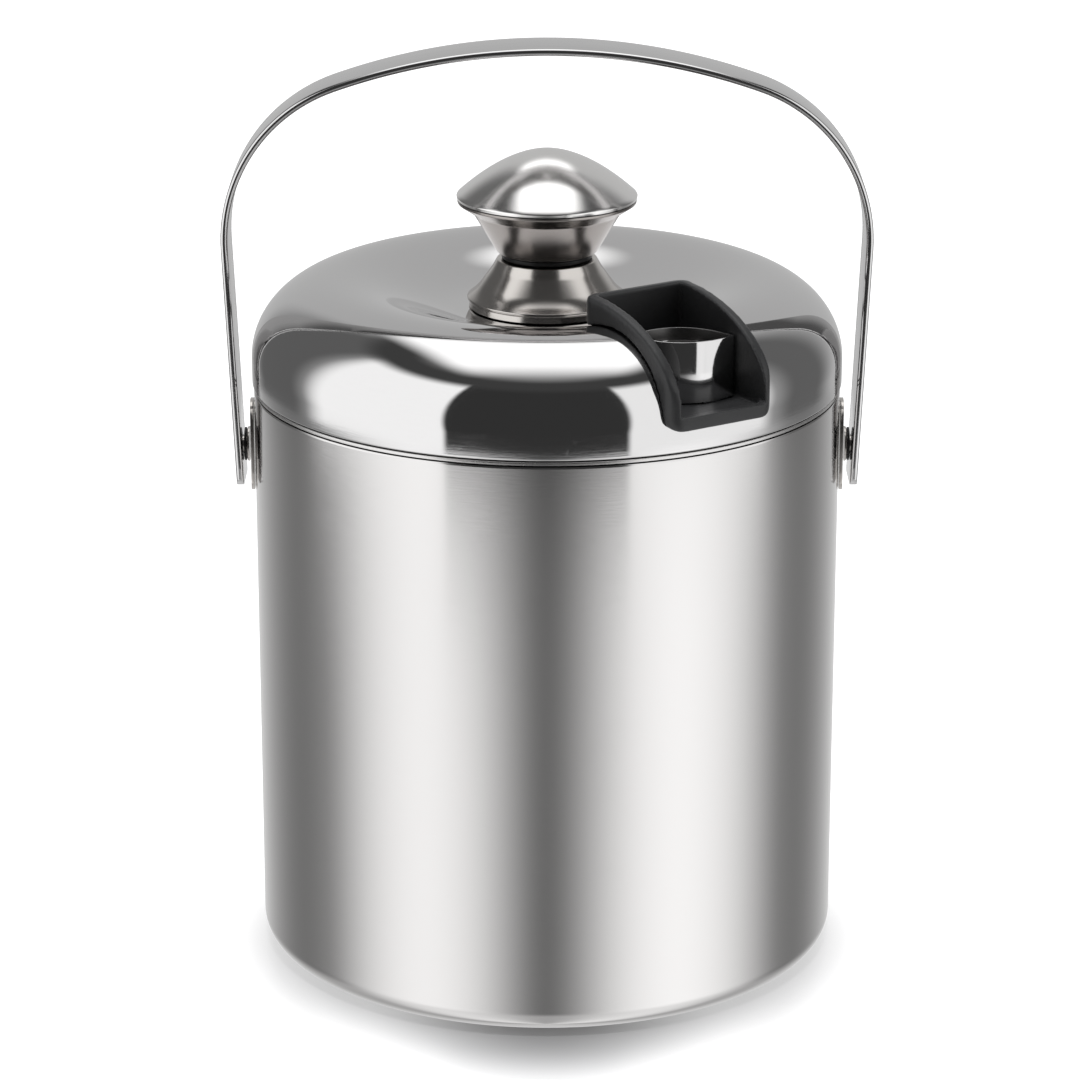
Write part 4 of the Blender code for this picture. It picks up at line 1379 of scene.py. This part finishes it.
class BUCKET_OT_stage(bpy.types.Operator):
    """Build the pale floor with its painted contact shadow, the soft studio light round the
    bucket, and the camera
    """
    bl_idname = "bucket.stage"
    bl_label = "Stage"

    def execute(self, context):
        studio = sizes("studio")
        scene = context.scene
        scene.view_settings.view_transform = "Standard"
        self.make_camera(scene, studio)
        self.make_floor(studio)
        self.make_soft_light(scene, studio)
        self.make_surround(scene)
        return {"FINISHED"}

    def make_camera(self, scene, studio):
        camera = bpy.data.cameras.new("camera")
        camera.lens = studio.lens
        camera.sensor_width = 36.0
        camera.clip_start = 0.01
        made = bpy.data.objects.new("camera", camera)
        made.location = (studio.aside, -studio.distance, studio.height)
        made.rotation_euler = (math.pi / 2.0 - studio.pitch, 0.0, 0.0)
        scene.collection.objects.link(made)
        scene.camera = made

    def make_floor(self, studio):
        mesh = bpy.data.meshes.new("floor")
        shape = bmesh.new()
        bmesh.ops.create_grid(shape, x_segments=1, y_segments=1, size=studio.floor_size / 2.0)
        shape.to_mesh(mesh)
        shape.free()
        material, work, shader, place = base_material("studio_floor", 0.0)
        tint = sizes("finish").floor
        mottle = work.mix(work.noise(place, 3.0, 2.0), opaque(tint), opaque(tint, 1.02))
        work.link(mottle, shader.inputs["Base Color"])
        shader.inputs["Roughness"].default_value = 0.35
        shader.inputs["Emission Color"].default_value = grey(1.0)
        # The glow is painted light and shade: the floor glows white far off, dims round the foot
        # to paint a contact shadow, and dims most at a spot before the bucket to paint the shadow
        # there.
        x, y, _ = work.split(place)
        edge = work.remap(self.reach(work, x, y, studio.edge_front), studio.sweep_near,
                          studio.sweep_far, studio.edge_glow, 1.0, smooth=True)
        narrower, darkest, shadow_spot_end = 1.3, 0.006, 0.057
        sideways = work.math("MULTIPLY", x, narrower)
        shade = work.remap(self.reach(work, sideways, y, studio.shade_front), darkest,
                           shadow_spot_end, smooth=True)
        glow = work.math("MULTIPLY", work.math("MULTIPLY", edge, shade), studio.sweep_glow)
        work.link(glow, shader.inputs["Emission Strength"])
        floor = new_object("floor", mesh, material)
        floor.location = (0.0, 0.0, -0.0002)
        floor.visible_glossy = False
        floor.visible_shadow = False

    def reach(self, work, x, y, front):
        """Distance from a spot on the floor that lies before the axis."""
        return work.distance(x, work.math("ADD", y, front))

    def make_soft_light(self, scene, studio):
        """A wide light above that shades the floor but isn't mirrored in the steel."""
        light = bpy.data.lights.new("soft_light", "AREA")
        light.shape = "SQUARE"
        light.size = studio.soft_size
        light.energy = studio.soft_power
        made = bpy.data.objects.new("soft_light", light)
        made.location = (0.0, 0.0, studio.soft_height)
        made.visible_glossy = False
        made.visible_camera = False
        scene.collection.objects.link(made)

    def make_surround(self, scene):
        """A surround of soft panels: two rings round the horizon and one panel overhead."""
        world = bpy.data.worlds.new("studio")
        scene.world = world
        world.use_nodes = True
        work = Nodes(world.node_tree)
        back = world.node_tree.nodes["Background"]
        towards = work.add("ShaderNodeTexCoord").outputs["Generated"]
        x, y, z = work.split(towards)
        around = work.math("ARCTAN2", x, work.math("MULTIPLY", y, -1.0))
        low_light = self.ring_of_panels(work, around, BODY_BACKDROP, BODY_PANELS)
        high_light = self.ring_of_panels(work, around, LID_BACKDROP, LID_PANELS)
        level = work.math("MULTIPLY_ADD", y, RING_TILT, z)
        rise = work.remap(level, *RING_CHANGE)
        light = work.mix(rise, low_light, high_light)
        fade = work.remap(z, *self.sines(RING_FADE), smooth=True)
        gap = work.remap(z, *self.sines(OVERHEAD_GAP), *GAP_LEVELS, smooth=True)
        light = work.mix(fade, light, gap)
        ground = work.remap(z, *GROUND_SINES, 0.0, GROUND_SHARE, smooth=True)
        light = work.mix(ground, light, grey(GROUND_LEVEL))
        rising = work.math("MAXIMUM", z, 0.01)
        across = work.math("ABSOLUTE", work.math("DIVIDE", x, rising))
        along = work.math("DIVIDE", y, rising)
        panel = work.remap(across, *PANEL_SIDES, smooth=True)
        for edges in (PANEL_FRONT, PANEL_BACK):
            panel = work.math("MULTIPLY", panel, work.remap(along, *edges, smooth=True))
        light = work.mix(panel, light, grey(PANEL_LEVEL))
        seen = work.add("ShaderNodeLightPath").outputs["Is Camera Ray"]
        work.link(work.mix(seen, light, grey(1.0)), back.inputs["Color"])
        glow = work.remap(seen, 0.0, 1.0, sizes("studio").surround, 1.0)
        work.link(glow, back.inputs["Strength"])

    def sines(self, elevations):
        return [math.sin(math.radians(degrees)) for degrees in elevations]

    def ring_of_panels(self, work, around, backdrop, panels):
        """Light by direction round the horizon, from a plain backdrop and its panels."""
        light = grey(backdrop)
        for centre, half, soft, level in panels.values():
            off = work.math("ABSOLUTE", work.math("SUBTRACT", around, math.radians(centre)))
            cover = work.remap(off, math.radians(half + soft), math.radians(half), smooth=True)
            light = work.mix(cover, light, grey(level))
        return light


# ---------------------------------------------------------------- panel

OPERATORS = (BUCKET_OT_body, BUCKET_OT_bail, BUCKET_OT_pivots, BUCKET_OT_lid, BUCKET_OT_knob,
             BUCKET_OT_holder, BUCKET_OT_tongs, BUCKET_OT_stage)
GROUPS = {"body": BUCKET_PG_body, "bail": BUCKET_PG_bail, "lid": BUCKET_PG_lid,
          "knob": BUCKET_PG_knob, "holder": BUCKET_PG_holder, "tongs": BUCKET_PG_tongs,
          "finish": BUCKET_PG_finish, "studio": BUCKET_PG_studio}


class BUCKET_PT_panel(bpy.types.Panel):
    """Lists the bucket's pieces and their sizes"""
    bl_idname = "BUCKET_PT_panel"
    bl_label = "Ice bucket"
    bl_space_type = "VIEW_3D"
    bl_region_type = "UI"
    bl_category = "Ice bucket"

    def draw(self, context):
        layout = self.layout
        for operator in OPERATORS:
            layout.operator(operator.bl_idname)
        for group, kind in GROUPS.items():
            box = layout.box()
            box.label(text=kind.__doc__)
            for key in kind.__annotations__:
                box.prop(getattr(context.scene, "bucket_" + group), key)


def register():
    for kind in (*GROUPS.values(), *OPERATORS, BUCKET_PT_panel):
        bpy.utils.register_class(kind)
    for group, kind in GROUPS.items():
        setattr(bpy.types.Scene, "bucket_" + group, PointerProperty(type=kind))


def unregister():
    for group in GROUPS:
        delattr(bpy.types.Scene, "bucket_" + group)
    for kind in reversed((*GROUPS.values(), *OPERATORS, BUCKET_PT_panel)):
        bpy.utils.unregister_class(kind)


def main():
    register()
    bpy.ops.bucket.body()
    bpy.ops.bucket.bail()
    bpy.ops.bucket.pivots()
    bpy.ops.bucket.lid()
    bpy.ops.bucket.knob()
    bpy.ops.bucket.holder()
    bpy.ops.bucket.tongs()
    bpy.ops.bucket.stage()


if __name__ == "__main__":
    main()
